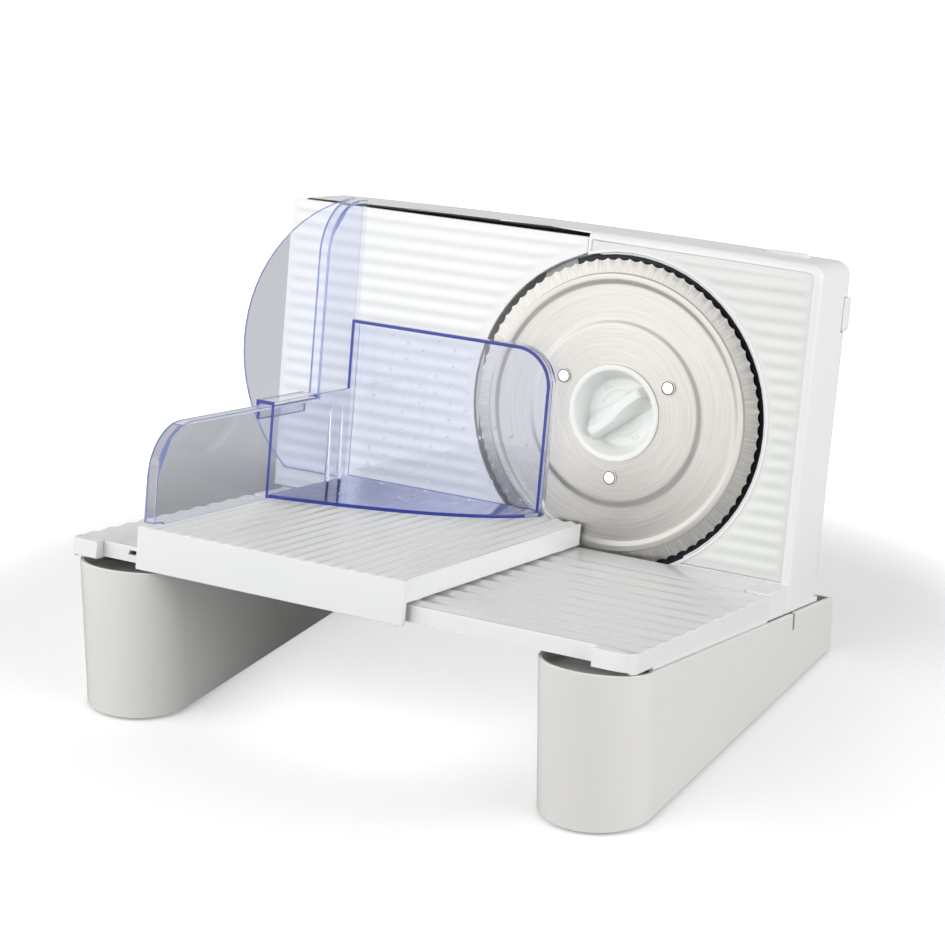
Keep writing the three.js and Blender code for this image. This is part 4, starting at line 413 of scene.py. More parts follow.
def rounded_copy(node, width, segments=2):
    solid = merged_copy(node)
    skin = BVHTree.FromBMesh(solid)
    bmesh.ops.dissolve_limit(solid, angle_limit=math.radians(0.2), verts=solid.verts, edges=solid.edges)
    folds = []
    for attempt in range(MENDS):
        bm = solid.copy()
        sharp = [e for e in bm.edges if e.is_manifold and e.calc_face_angle(0.0) > SHARP
                 and not any(reach_to_edge(spot, e) < NEAR_FOLD for spot in folds)]
        bmesh.ops.bevel(
            bm, geom=sharp, offset=width / 1000, offset_type="OFFSET", segments=segments, profile=0.5,
            affect="EDGES", clamp_overlap=False)
        bmesh.ops.triangulate(bm, faces=[f for f in bm.faces if len(f.verts) > 4])
        found = folded_spots(bm, skin)
        if not found:
            break
        folds += found
        if attempt < MENDS - 1:
            bm.free()
    solid.free()
    print(node, "faces", len(bm.faces), "rounds of mending", attempt, "folds left", len(found))
    return bm


def mark_edges(bm):
    skin = BVHTree.FromBMesh(bm)
    for face in bm.faces:
        start = face.calc_center_median() - face.normal * 2e-5
        depth = skin.ray_cast(start, -face.normal, 1.0)[3]
        face.material_index = int(depth is not None and depth > SHEET_LIMIT / 1000)
    print("edge faces:", sum(face.material_index for face in bm.faces), "of", len(bm.faces))
    return bm


def machine_view(face):
    return TO_MACHINE @ face.calc_center_median(), LEAN.to_3x3().inverted() @ face.normal


def dressed(node, body, slot, look, width=0.5):
    piece = settle(node + "_dressed", rounded_copy(node, width), [look])
    return seat(piece, body, slot, node)


# %% [markdown]
# The housing is one moulding. Its face round the blade drops into a deep well that no light reaches. The faces
# of that well are painted near black as painted shade, the slit over the stop plate is painted dark as painted
# shade, and the recess beside the stop plate's round cut is painted grey as painted shade. A strip under each
# side closes the gap down to the sloping rim of the leg.

# %% Housing, covers and buttons
PLATE_END = -24.5
PLATE_START = -213.0
STRIP_TOP = -13.4


# Chooses painted shade by place: 1 paints the blade well near black, 3 paints the recess beside the stop
# plate's cut grey, 2 paints the slit's faces that don't face up dark, 0 leaves plain white.
def painted_housing_shade(spot, facing):
    reach = math.hypot(spot.x, spot.z - AXLE_LEVEL)
    if 60.0 < reach < 88.6 and 0.25 < spot.y < 8.0 and spot.x > PLATE_END:
        return 1
    if 60.0 < reach < 96.0 and 0.25 < spot.y < 14.0 and spot.x < PLATE_END:
        return 3
    behind_plate = PLATE_START < spot.x < PLATE_END and 0.3 < spot.y < 40.0
    return 2 if behind_plate and 160.0 < spot.z < 173.4 and facing.z < 0.4 else 0


def leg_rim(leg):
    spots = [v.co for v in frame["nodes"][leg].data.vertices]
    outside = max(spots, key=lambda v: abs(v.x - ORIGIN.x - TABLE_MIDDLE / 1000)).x
    wall = [v for v in spots if abs(v.x - outside) < 0.0003]
    ends = [min(v.y for v in wall), max(v.y for v in wall)]
    tops = [max(v.z for v in wall if abs(v.y - end) < 0.002) for end in ends]
    return lambda y: tops[0] + (tops[1] - tops[0]) * (y - ends[0]) / (ends[1] - ends[0])


def skirt_strip(leg, outer, inner):
    rim = leg_rim(leg)
    rings = []
    for y in np.linspace(-28.8, 46.4, 13):
        ring = []
        for x, below in ((outer, False), (outer, True), (inner, True), (inner, False)):
            spot = MACHINE @ Vector((x, y, STRIP_TOP))
            if below:
                spot.z = min(spot.z - 0.001, rim(spot.y) - 0.0003)
            ring.append(spot)
        rings.append(ring)
    return ringed_mesh(leg + "_strip", rings)


def motor_housing():
    bm = rounded_copy("motor_housing", 0.5)
    for face in bm.faces:
        face.material_index = painted_housing_shade(*machine_view(face))
    bm.from_mesh(skirt_strip("leg_right", 110.9, 107.0))
    bm.from_mesh(skirt_strip("leg_left", -213.9, -210.0))
    piece = settle("motor_housing_dressed", bm, [WHITE, WELL_PAINTED_SHADE, SLIT_PAINTED_SHADE, RECESS_PAINTED_SHADE])
    return seat(piece, "frame", "white_plastic", "motor_housing")


motor_housing()
for node in ("rear_cover", "post_cover"):
    dressed(node, "frame", "white_plastic", WHITE, 0.4)
dressed("power_button", "power", "white_plastic", WHITE, 0.4)
dressed("thickness_dial", "dial", "white_plastic", WHITE, 0.3)
dressed("cord_gland", "frame", "dark_plastic", DARK_PLASTIC_AND_PAINTED_SHADE, 0.3)

# %% [markdown]
# Several things on this machine repeat or follow a rule: the ribs of the front plates, the turned blade, the
# rivets and screws, the dimples of the food holder. Geometry Nodes make them. A small class lays out a tree
# with named inputs, and a helper runs a tree on a mesh and keeps the result as a plain mesh.

# %% Helpers for node trees
KINDS = {int: "NodeSocketInt", float: "NodeSocketFloat"}


class Tree:
    def __init__(self, name, **sizes):
        self.group = bpy.data.node_groups.new(name, "GeometryNodeTree")
        self.group.is_modifier = True
        ports = self.group.interface
        ports.new_socket("Geometry", in_out="INPUT", socket_type="NodeSocketGeometry")
        for label, value in sizes.items():
            socket = ports.new_socket(label, in_out="INPUT", socket_type=KINDS[type(value)])
            socket.default_value = value
        ports.new_socket("Part", in_out="INPUT", socket_type="NodeSocketObject")
        ports.new_socket("Finish", in_out="INPUT", socket_type="NodeSocketMaterial")
        ports.new_socket("Geometry", in_out="OUTPUT", socket_type="NodeSocketGeometry")
        self.given = self.group.nodes.new("NodeGroupInput").outputs

    def add(self, kind, inputs=None, **settings):
        return add_node(self.group, kind, inputs, **settings)

    def calc(self, operation, first, second=0.0):
        return calc(self.group, operation, first, second)

    def carried(self, label, kind):
        node = self.add("GeometryNodeInputNamedAttribute", {"Name": label}, data_type=kind)
        return node.outputs["Attribute"]

    def point(self, x=0.0, y=0.0, z=0.0):
        return self.add("ShaderNodeCombineXYZ", {"X": x, "Y": y, "Z": z}).outputs["Vector"]

    def close(self, geometry):
        real = self.add("GeometryNodeRealizeInstances", {"Geometry": geometry}).outputs["Geometry"]
        finish = self.add("GeometryNodeSetMaterial", {"Geometry": real, "Material": self.given["Finish"]})
        self.add("NodeGroupOutput", {"Geometry": finish.outputs["Geometry"]})
        print("tree laid out:", self.group.name, len(self.group.nodes), "nodes")
        return self


def grown(name, mesh, tree, finish, **sizes):
    thing = object_from(name, mesh)
    nodes = thing.modifiers.new("grow", "NODES")
    nodes.node_group = tree.group
    values = dict(sizes, Finish=finish)
    for port in tree.group.interface.items_tree:
        if port.in_out == "INPUT" and port.name in values:
            nodes[port.identifier] = values[port.name]
    result = thing.evaluated_get(bpy.context.evaluated_depsgraph_get())
    plain = bpy.data.meshes.new_from_object(result)
    bpy.data.objects.remove(thing)
    bm = bmesh.new()
    bm.from_mesh(plain)
    bpy.data.meshes.remove(plain)
    return bm


# %% [markdown]
# The stop plate and the front panel carry soft ribs, 8 mm apart, that die away before the plate's edge. Bump
# would not give their wavy shade, so the plates are cut into narrow rows and the rows are lifted. How much a
# point may rise is an attribute, from its distance to the edge; the tree multiplies it with the wave.

# %% Tree that raises ribs
RIB_PITCH = 8.0


def raise_ribs():
    tree = Tree("raise_ribs", Pitch=RIB_PITCH, Height=1.0, Start=0.0)
    place = tree.add("GeometryNodeInputPosition").outputs[0]
    height = tree.add("ShaderNodeSeparateXYZ", {0: place}).outputs["Z"]
    share = tree.calc("DIVIDE", tree.calc("SUBTRACT", height, tree.given["Start"]), tree.given["Pitch"])
    wave = tree.calc("SINE", tree.calc("MULTIPLY", share, math.pi))
    crest = tree.calc("MULTIPLY", tree.calc("MULTIPLY", wave, wave), tree.given["Height"])
    rise = tree.calc("MULTIPLY", crest, tree.carried("fade", "FLOAT"))
    lift = tree.point(y=tree.calc("MULTIPLY", rise, -1.0))
    moved = tree.add("GeometryNodeSetPosition", {"Geometry": tree.given["Geometry"], "Offset": lift})
    return tree.close(moved.outputs["Geometry"])


RIBS = raise_ribs()

# %% [markdown]
# Each plate takes its outline from the flat back of its solid. The outline is a loop of points: it is walked
# along the rim of the flat face, freed of points that only split a straight line, and moved in or out.

# %% Outlines of the plates
def flat_loop(node, level):
    bm = merged_copy(node)
    bm.transform(TO_MACHINE)
    flat = {f for f in bm.faces if all(abs(v.co.y - level) < 0.03 for v in f.verts)}
    rim = {e for e in bm.edges if sum(f in flat for f in e.link_faces) == 1}
    loops = []
    while rim:
        edge = rim.pop()
        start, spot = edge.verts
        loop = [start, spot]
        while spot is not start:
            edge = next((e for e in spot.link_edges if e in rim), None)
            if edge is None:
                break
            rim.remove(edge)
            spot = edge.other_vert(spot)
            loop.append(spot)
        loops.append([(v.co.x, v.co.z) for v in loop[:-1]])
    bm.free()
    return np.array(max(loops, key=lambda loop: np.ptp(np.array(loop), axis=0).sum()))


def steps_of(loop):
    return loop - np.roll(loop, 1, axis=0), np.roll(loop, -1, axis=0) - loop


def tidy_loop(loop):
    x, z = loop[:, 0], loop[:, 1]
    if np.sum(x * np.roll(z, -1) - np.roll(x, -1) * z) < 0:
        loop = loop[::-1]
    loop = loop[np.linalg.norm(steps_of(loop)[0], axis=1) > 0.05]
    before, after = steps_of(loop)
    bend = np.abs(before[:, 0] * after[:, 1] - before[:, 1] * after[:, 0])
    return loop[bend > 1e-3 * np.linalg.norm(before, axis=1) * np.linalg.norm(after, axis=1)]


def shrunk(loop, inset):
    sides = [np.stack([-d[:, 1], d[:, 0]], 1) / np.linalg.norm(d, axis=1)[:, None] for d in steps_of(loop)]
    middle = sides[0] + sides[1]
    return loop + middle * inset / np.maximum(0.3, (1 + (sides[0] * sides[1]).sum(1)))[:, None]


def reach_to_loop(points, loop):
    best = np.full(len(points), 1e9)
    for start, end in zip(loop, np.roll(loop, -1, axis=0)):
        along = end - start
        share = np.clip(((points - start) @ along) / (along @ along), 0, 1)
        best = np.minimum(best, np.linalg.norm(points - start - share[:, None] * along, axis=1))
    return best


def axle_reach(points):
    return np.hypot(points[:, 0], points[:, 1] - AXLE_LEVEL)


STOP_BACK, PANEL_BACK = 3.5, 1.7
for node, level in (("stop_plate", STOP_BACK), ("front_panel", PANEL_BACK)):
    print(node, "outline points", len(tidy_loop(flat_loop(node, level))))

# %% [markdown]
# A plate is a slab on that outline with soft edges, cut into rows for the tree. Its ribs fade out near the
# outline and near the round cut beside the blade. The stop plate also has a small follower on its back that
# rides on the dial's cam; it is a plain block with rounded edges.

# %% Stop plate and front panel
PLATE_TOP, PLATE_TOP_RAISE = 170.0, 0.8
SOFT_EDGE = 0.4
ROW, COLUMN = 1.0, 2.5


def plate_outline(node, back, arc, spread):
    loop = tidy_loop(flat_loop(node, back))
    near = axle_reach(loop)
    loop = shrunk(loop, -spread)
    turn = np.arctan2(loop[:, 1] - AXLE_LEVEL, loop[:, 0])
    on_arc = (near < 90.6) & (loop[:, 1] > 1.6) & (np.abs(loop[:, 0] + 24.8) > 1.6)
    loop[on_arc] = np.stack([np.cos(turn), np.sin(turn)], 1)[on_arc] * arc + (0.0, AXLE_LEVEL)
    loop[np.abs(loop[:, 1] - PLATE_TOP) < 0.02, 1] += PLATE_TOP_RAISE
    return loop


def plate_slab(name, loop, front, back):
    soft = SOFT_EDGE
    levels = [(shrunk(loop, soft), front), (shrunk(loop, soft * 0.3), front + soft * 0.3),
              (loop, front + soft), (loop, back - soft), (shrunk(loop, soft), back)]
    bm = bmesh.new()
    bm.from_mesh(ringed_mesh(name, [[(x, y, z) for x, z in ring] for ring, y in levels]))
    low, high = loop.min(0), loop.max(0)
    cuts = [((0, 0, 1), (0, 0, z)) for z in np.arange(low[1] + ROW, high[1], ROW)]
    cuts += [((1, 0, 0), (x, 0, 0)) for x in np.arange(low[0] + COLUMN, high[0], COLUMN)]
    for facing, place in cuts:
        bmesh.ops.bisect_plane(
            bm, geom=bm.verts[:] + bm.edges[:] + bm.faces[:], plane_co=place, plane_no=facing, dist=1e-4)
    bmesh.ops.recalc_face_normals(bm, faces=bm.faces)
    return as_mesh(name, bm)


def ribbed_plate(node, front, back, start, arc, spread, look):
    name = node + "_ribs"
    loop = plate_outline(node, back, arc, spread)
    mesh = plate_slab(name, loop, front, back)
    spots = np.array([v.co[:] for v in mesh.vertices])
    flat = spots[:, [0, 2]]
    edge = np.clip((reach_to_loop(flat, loop) - 2.2) / 2.6, 0, 1)
    rim = np.clip((axle_reach(flat) - arc - 4.2) / 3.0, 0, 1)
    fade = np.minimum(edge, rim)
    fade = np.where(spots[:, 1] < front + 0.01, fade * fade * (3 - 2 * fade), 0.0)
    mesh.attributes.new("fade", "FLOAT", "POINT").data.foreach_set("value", fade)
    bm = grown(name, mesh, RIBS, look, Start=start, Height=front, Pitch=RIB_PITCH)
    bm.transform(MACHINE)
    print(name, "outline points", len(loop), "faces", len(bm.faces))
    return bm


def follower_block(low, high, width):
    bm = bmesh.new()
    bmesh.ops.create_cube(bm, size=1.0)
    for vert in bm.verts:
        vert.co = [(a + b) / 2 + (b - a) * c for a, b, c in zip(low, high, vert.co)]
    bmesh.ops.bevel(bm, geom=bm.edges[:], offset=width, segments=2, profile=0.5, affect="EDGES")
    bm.transform(MACHINE)
    return as_mesh("follower", bm)


def stop_plate():
    bm = ribbed_plate("stop_plate", 0.5, STOP_BACK, 2.5, 88.4, 0.0, WHITE)
    solid = [TO_MACHINE @ v.co for v in frame["nodes"]["stop_plate"].data.vertices]
    behind = [v for v in solid if v.y > STOP_BACK + 0.1]
    if behind:
        low = [min(v[i] for v in behind) for i in range(3)]
        high = [max(v[i] for v in behind) for i in range(3)]
        bm.from_mesh(follower_block((low[0], STOP_BACK - 0.5, low[2]), high, 0.3))
    return seat(settle("stop_plate_dressed", bm, [WHITE], 60.0), "stop", "white_plastic", "stop_plate")


def front_panel():
    bm = ribbed_plate("front_panel", 0.55, PANEL_BACK, 2.0, 86.9, 0.22, PANEL_WHITE)
    piece = settle("front_panel_dressed", bm, [PANEL_WHITE], 60.0)
    return seat(piece, "frame", "white_plastic", "front_panel")


stop_plate()
front_panel()

# %% [markdown]
# The blade's section is a row of points. A tree turns that section round the axle, one column of a grid for
# each step, and pulls the rim in between the teeth.

# %% Tree that turns a section
def turn_section():
    tree = Tree("turn_section", Steps=576, Rows=42, PerTooth=8, Bite=1.15, BiteFrom=81.2, BiteOver=3.8)
    given, calc = tree.given, tree.calc
    grid = tree.add("GeometryNodeMeshGrid", {
        "Vertices X": calc("ADD", given["Steps"], 1.0), "Vertices Y": given["Rows"]})
    index = tree.add("GeometryNodeInputIndex").outputs[0]
    row = calc("MODULO", index, given["Rows"])
    column = calc("FLOOR", calc("DIVIDE", calc("ADD", index, 0.5), given["Rows"]))
    place = tree.add("GeometryNodeInputPosition").outputs[0]
    section = tree.add(
        "GeometryNodeSampleIndex", {"Geometry": given["Geometry"], "Value": place, "Index": row},
        data_type="FLOAT_VECTOR", domain="POINT").outputs["Value"]
    parts = tree.add("ShaderNodeSeparateXYZ", {0: section}).outputs
    in_tooth = calc("DIVIDE", calc("MODULO", column, given["PerTooth"]), given["PerTooth"])
    swing = calc("SUBTRACT", calc("MULTIPLY", in_tooth, 2.0), 1.0)
    hollow = calc("SUBTRACT", 1.0, calc("MULTIPLY", swing, swing))
    rim = calc("DIVIDE", calc("SUBTRACT", parts["X"], given["BiteFrom"]), given["BiteOver"])
    pull = calc("MULTIPLY", calc("MULTIPLY", hollow, given["Bite"]), calc("MAXIMUM", rim, 0.0))
    radius = calc("SUBTRACT", parts["X"], pull)
    turn = calc("MULTIPLY", calc("DIVIDE", column, given["Steps"]), 2 * math.pi)
    spot = tree.point(
        calc("MULTIPLY", radius, calc("COSINE", turn)), parts["Y"],
        calc("MULTIPLY", radius, calc("SINE", turn)))
    turned = tree.add("GeometryNodeSetPosition", {"Geometry": grid.outputs["Mesh"], "Position": spot})
    joined = tree.add("GeometryNodeMergeByDistance", {
        "Geometry": turned.outputs["Geometry"], "Distance": 0.0005})
    return tree.close(joined.outputs["Geometry"])


TURNING = turn_section()

# %% [markdown]
# The blade is a pressed disc: a flat hub, a step, a flat field, a stiffening bead and a ground bevel whose rim
# is cut in shallow scallops. Radii are close together where the section bends and far apart where it is flat.

# %% Blade
BLADE_RADIUS, BEVEL_FROM = 85.0, 77.5
BLADE_BACK = -0.1
TEETH_STEPS, STEPS_PER_TOOTH = 640, 8
TOOTH_DEPTH, TOOTH_FROM = 1.15, 81.2


def eased(value, start, end):
    share = min(1.0, max(0.0, (value - start) / (end - start)))
    return share * share * (3 - 2 * share)


def blade_front(radius):
    if radius > BEVEL_FROM:
        return -1.85 + (radius - BEVEL_FROM) / (BLADE_RADIUS - BEVEL_FROM) * 1.45
    rise = eased(radius, 48.4, 52.6) - eased(radius, 70.6, 74.0) + 0.5 * eased(radius, 76.2, BEVEL_FROM)
    return -2.3 + 0.9 * rise


def blade_back(radius):
    if radius == BLADE_RADIUS:
        return BLADE_BACK
    return min(blade_front(radius) + 1.0, BLADE_BACK - 0.012 * (BLADE_RADIUS - radius))


def scalloped_blade():
    front = [25.4, 25.7, 30, 36, 42, 47, 48.4, 49.2, 49.9, 50.5, 51.1, 51.8, 52.6, 54, 58, 64, 69, 70.6, 71.2,
             71.8, 72.3, 72.8, 73.4, 74, 74.6, 75.4, 76.2, 76.6, 77, 77.3, BEVEL_FROM, 77.8, 79.5, TOOTH_FROM,
             82.6, 83.9, BLADE_RADIUS]
    back = [BLADE_RADIUS, 80, BEVEL_FROM, 73.8, 70.8, 60, 52.4, 48.6, 36, 25.4]
    section = [(r, blade_front(r), 0.0) for r in front] + [(r, blade_back(r), 0.0) for r in back]
    section += section[:1]
    bm = grown("blade_section", mesh_of("blade_section", section), TURNING, BLADE_STEEL, Steps=TEETH_STEPS,
               Rows=len(section), PerTooth=STEPS_PER_TOOTH, Bite=TOOTH_DEPTH, BiteFrom=TOOTH_FROM,
               BiteOver=BLADE_RADIUS - TOOTH_FROM)
    bmesh.ops.remove_doubles(bm, verts=bm.verts, dist=1e-4)
    bmesh.ops.recalc_face_normals(bm, faces=bm.faces)
    bm.transform(MACHINE @ Matrix.Translation((0, 0, AXLE_LEVEL)))
    print("blade faces:", len(bm.faces), "open edges:", sum(e.is_boundary for e in bm.edges))
    return seat(settle("scalloped_blade", bm, [BLADE_STEEL], 40.0), "blade", "blade_steel", "blade")


scalloped_blade()

# %% [markdown]
# Rivets and screws are one shape set down many times, each square to what it holds. A tree puts the shape on
# points and turns it to the direction that each point carries.

# %% Tree that sets fasteners
def set_fasteners():
    tree = Tree("set_fasteners", Scale=1.0)
    shape = tree.add("GeometryNodeObjectInfo", {"Object": tree.given["Part"]}).outputs["Geometry"]
    stand = tree.add(
        "FunctionNodeAlignRotationToVector", {"Vector": tree.carried("facing", "FLOAT_VECTOR")}, axis="Z")
    turn = tree.add("FunctionNodeAlignRotationToVector", {
        "Rotation": stand.outputs["Rotation"], "Vector": tree.carried("along", "FLOAT_VECTOR")},
        axis="X", pivot_axis="Z")
    points = tree.add("GeometryNodeMeshToPoints", {"Mesh": tree.given["Geometry"]}).outputs["Points"]
    placed = tree.add("GeometryNodeInstanceOnPoints", {
        "Points": points, "Instance": shape, "Rotation": turn.outputs["Rotation"],
        "Scale": tree.given["Scale"]})
    return tree.close(placed.outputs["Instances"])


FASTENING = set_fasteners()


def fasteners(name, shape, spots, facings, finish, alongs=None):
    part = object_from(name + "_shape", shape)
    alongs = alongs or [(0.0, 0.0, 0.0)] * len(spots)
    points = mesh_of(name, spots, facing=facings, along=alongs)
    bm = grown(name, points, FASTENING, finish, Part=part, Scale=1.0)
    bpy.data.objects.remove(part)
    print(name, len(spots), "faces", len(bm.faces))
    return bm


# %% [markdown]
# A rivet is a polished button in a groove; a screw is a pan head with a cross recess and a stub of its shank.
# Both are rings on rings. The groove of each rivet lies in shade, so its faces are painted dark as painted
# shade.

# %% Rivets and screws
GROOVE_SHADE_SPAN = (3.27, 3.91)
RIVET_SINK = 0.16
SCREW_HEAD = 2.0


def circle(radius, height, count=48):
    turns = [2 * math.pi * i / count for i in range(count)]
    return [(radius * math.cos(turn), radius * math.sin(turn), height) for turn in turns]


def cross(arm, half, height, count=48):
    ring = []
    for i in range(count):
        turn = 2 * math.pi * i / count
        c, s = abs(math.cos(turn)) + 1e-9, abs(math.sin(turn)) + 1e-9
        reach = max(min(arm / c, half / s), min(half / c, arm / s))
        ring.append((reach * math.cos(turn), reach * math.sin(turn), height))
    return ring


def rivet_shape():
    rings = [circle(4.2, -0.55), circle(4.2, -0.06), circle(4.1, 0.0), circle(3.9, 0.0), circle(3.82, -0.35),
             circle(3.34, -0.35), circle(3.28, 0.02), circle(3.1, 0.08), circle(1.8, 0.13), circle(0.4, 0.14)]
    return ringed_mesh("rivet_shape", rings)


def screw_shape():
    rings = [circle(1.6, -12.0), circle(1.6, 0.0), circle(3.2, 0.0), circle(3.25, 0.2), circle(3.25, 1.2),
             circle(3.0, 1.6), circle(2.4, 1.9), cross(1.75, 0.42, 1.98), cross(1.7, 0.38, 1.9),
             cross(1.0, 0.3, 0.9)]
    return ringed_mesh("screw_shape", rings)


def set_rivets():
    names = ["blade_rivet_1", "blade_rivet_2", "blade_rivet_3"]
    boxes = [node_box(node) for node in names]
    spots = [((low.x + high.x) / 2, low.y + RIVET_SINK, (low.z + high.z) / 2) for low, high in boxes]
    bm = fasteners("blade_rivets", rivet_shape(), spots, [(0.0, -1.0, 0.0)] * len(spots), RIVET)
    for face in bm.faces:
        spot = face.calc_center_median()
        reach = min(math.hypot(spot.x - x, spot.z - z) for x, _, z in spots)
        # Faces between these radii, the groove, are painted dark as painted shade.
        face.material_index = int(GROOVE_SHADE_SPAN[0] < reach < GROOVE_SHADE_SPAN[1])
    bm.transform(MACHINE)
    return seat(settle("blade_rivets", bm, [RIVET, DARK_PLASTIC_AND_PAINTED_SHADE], 30.0), "blade", "steel", *names)


def set_screws():
    covers = [n for n in frame["nodes"] if n.startswith(("cover_screw", "post_screw"))]
    legs = [n for n in frame["nodes"] if n.startswith("leg_screw")]
    spots, facings = [], []
    for node in covers + legs:
        low, high = node_box(node)
        middle = (low + high) / 2
        if node in legs:
            spots.append((middle.x, middle.y, low.z + SCREW_HEAD))
            facings.append((0.0, 0.0, -1.0))
        else:
            spots.append((middle.x, high.y - SCREW_HEAD, middle.z))
            facings.append((0.0, 1.0, 0.0))
    bm = fasteners("housing_screws", screw_shape(), spots, facings, ZINC)
    bm.transform(MACHINE)
    return seat(settle("housing_screws", bm, [ZINC], 30.0), "frame", "zinc_steel", *covers, *legs)


set_rivets()
set_screws()

# %% [markdown]
# The legs are hollow, and under the table's front corners one looks over the rim into them. A shelf just below
# the rim closes each leg there. It follows the leg's round front and the lean of the table. The table and the
# sliding tray are glossier than the housing, and the tray's ribs run down to its front edge.

# %% Legs, table and carriage
LEG_WALL, SHELF_DEPTH = 0.0015, 0.09
SHELF_LEVELS = (-19.0, -17.0)
TRAY_VALLEY = 12.0


def leg_shelf(leg):
    spots = [v.co for v in frame["nodes"][leg].data.vertices]
    left, right = min(v.x for v in spots), max(v.x for v in spots)
    front, middle, reach = min(v.y for v in spots), (left + right) / 2, (right - left) / 2
    inside = reach - LEG_WALL
    outline = [(middle + inside, front + SHELF_DEPTH)]
    for turn in np.linspace(0, math.pi, 25):
        outline.append((middle + inside * math.cos(turn), front + reach - inside * math.sin(turn)))
    outline.append((middle - inside, front + SHELF_DEPTH))
    rings = []
    for level in SHELF_LEVELS:
        low = MACHINE @ Vector((0.0, 0.0, level))
        rings.append([(x, y, low.z - (y - low.y) * math.tan(TILT)) for x, y in outline])
    return ringed_mesh(leg + "_shelf", rings)


def hollow_leg(leg):
    bm = rounded_copy(leg, 0.5, 3)
    bm.from_mesh(leg_shelf(leg))
    return seat(settle(leg + "_dressed", bm, [LEG_WHITE]), "frame", "white_plastic", leg)


def sliding_tray():
    bm = rounded_copy("carriage", 0.5)
    bm.transform(TO_MACHINE)
    front = min(v.co.y for v in bm.verts)
    bmesh.ops.bisect_plane(
        bm, geom=bm.verts[:] + bm.edges[:] + bm.faces[:], plane_co=(0, front + 3.5, 0), plane_no=(0, 1, 0),
        dist=1e-4)
    for vert in bm.verts:
        if vert.co.y < front + 0.9 and vert.co.z > TRAY_VALLEY:
            vert.co.z = TRAY_VALLEY + (vert.co.z - TRAY_VALLEY) * 0.45
    bm.transform(MACHINE)
    return seat(settle("carriage_dressed", bm, [TRAY_WHITE]), "carriage", "white_plastic", "carriage")


hollow_leg("leg_left")
hollow_leg("leg_right")
dressed("base_plate", "frame", "white_plastic", TRAY_WHITE, 0.5)
sliding_tray()

# %% [markdown]
# The safety button on the side is a softly domed key with a small oval bead for the finger. Rounded
# rectangles, each a little smaller and further out than the last, make its dome. Short bars round the
# thickness dial, set by the same tree as the screws, are its scale.

# %% Safety button and dial scale
KEY_MIDDLE, KEY_HALF, KEY_CORNER = (41.8, 143.7), (5.05, 9.4), 2.0
SCALE_BARS, SCALE_RADIUS = 16, 21.5


def oval_bead(name, centre, first, second, tube):
    steps, sides = 36, 8
    centre, first, second = Vector(centre), Vector(first), Vector(second)
    up = first.cross(second).normalized()
    points = []
    for turn in np.linspace(0, 2 * math.pi, steps + 1)[:-1]:
        spot = first * math.cos(turn) + second * math.sin(turn)
        out = spot.normalized()
        points += [centre + spot + (out * math.cos(a) + up * math.sin(a)) * tube
                   for a in np.linspace(0, 2 * math.pi, sides + 1)[:-1]]
    faces = []
    for i in range(steps):
        here, there = i * sides, (i + 1) % steps * sides
        faces += [(here + k, there + k, there + (k + 1) % sides, here + (k + 1) % sides) for k in range(sides)]
    return outward_mesh(name, points, faces)


def rounded_rectangle(x, inset, count=12):
    corner = max(0.25, KEY_CORNER - inset)
    reach_y, reach_z = (half - inset - corner for half in KEY_HALF)
    ring = []
    for k, (sy, sz) in enumerate(((1, 1), (-1, 1), (-1, -1), (1, -1))):
        for i in range(count):
            turn = math.pi / 2 * (k + i / (count - 1))
            ring.append((x, KEY_MIDDLE[0] + sy * reach_y + corner * math.cos(turn),
                         KEY_MIDDLE[1] + sz * reach_z + corner * math.sin(turn)))
    return ring


def safety_button():
    steps = [(0, 108.9), (0, 110.9), (0.25, 111.4), (0.7, 111.7), (1.5, 112.0), (2.6, 112.25), (3.6, 112.35),
             (4.6, 112.4)]
    bm = bmesh.new()
    bm.from_mesh(ringed_mesh("safety_key", [rounded_rectangle(x, inset) for inset, x in steps]))
    bm.from_mesh(oval_bead("safety_bead", (112.3, 42.6, 146.6), (0, 1.3, 0), (0, 0, 2.4), 0.32))
    bm.transform(MACHINE)
    print("safety button faces:", len(bm.faces))
    return seat(settle("safety_button_dressed", bm, [WHITE]), "safety", "white_plastic", "safety_button")


def dial_scale():
    corners = ((-1.5, -0.3), (1.5, -0.3), (1.5, 0.3), (-1.5, 0.3))
    bar = ringed_mesh("scale_bar", [[(x, y, z) for x, y in corners] for z in (-0.2, 0.22)])
    low, high = node_box("thickness_dial")
    x, z = (low.x + high.x) / 2, (low.z + high.z) / 2
    back = node_box("post_cover")[1].y
    turns = [math.radians(225 - 18 * k) for k in range(SCALE_BARS)]
    alongs = [(math.cos(turn), 0.0, math.sin(turn)) for turn in turns]
    spots = [(x + SCALE_RADIUS * c, back, z + SCALE_RADIUS * s) for c, _, s in alongs]
    bm = fasteners("dial_scale", bar, spots, [(0.0, 1.0, 0.0)] * SCALE_BARS, GREY, alongs)
    bm.transform(MACHINE)
    return seat(settle("dial_scale", bm, [GREY]), "frame", "dark_plastic")


safety_button()
dial_scale()

# %% [markdown]
# The lock knob is a shallow cup with a grip across it. The grip is bent like an S: each end is cut away on one
# side for a finger. Height over the cup's floor is written as a function of the place, and a fine round grid
# takes that height, so cup, grip and the faint marks on the floor are one skin.

# %% Lock knob
GRIP_TURN = math.radians(37.0)
GRIP_HEIGHT, CUP_FLOOR = 10.4, 7.5
KNOB_STEPS = 240


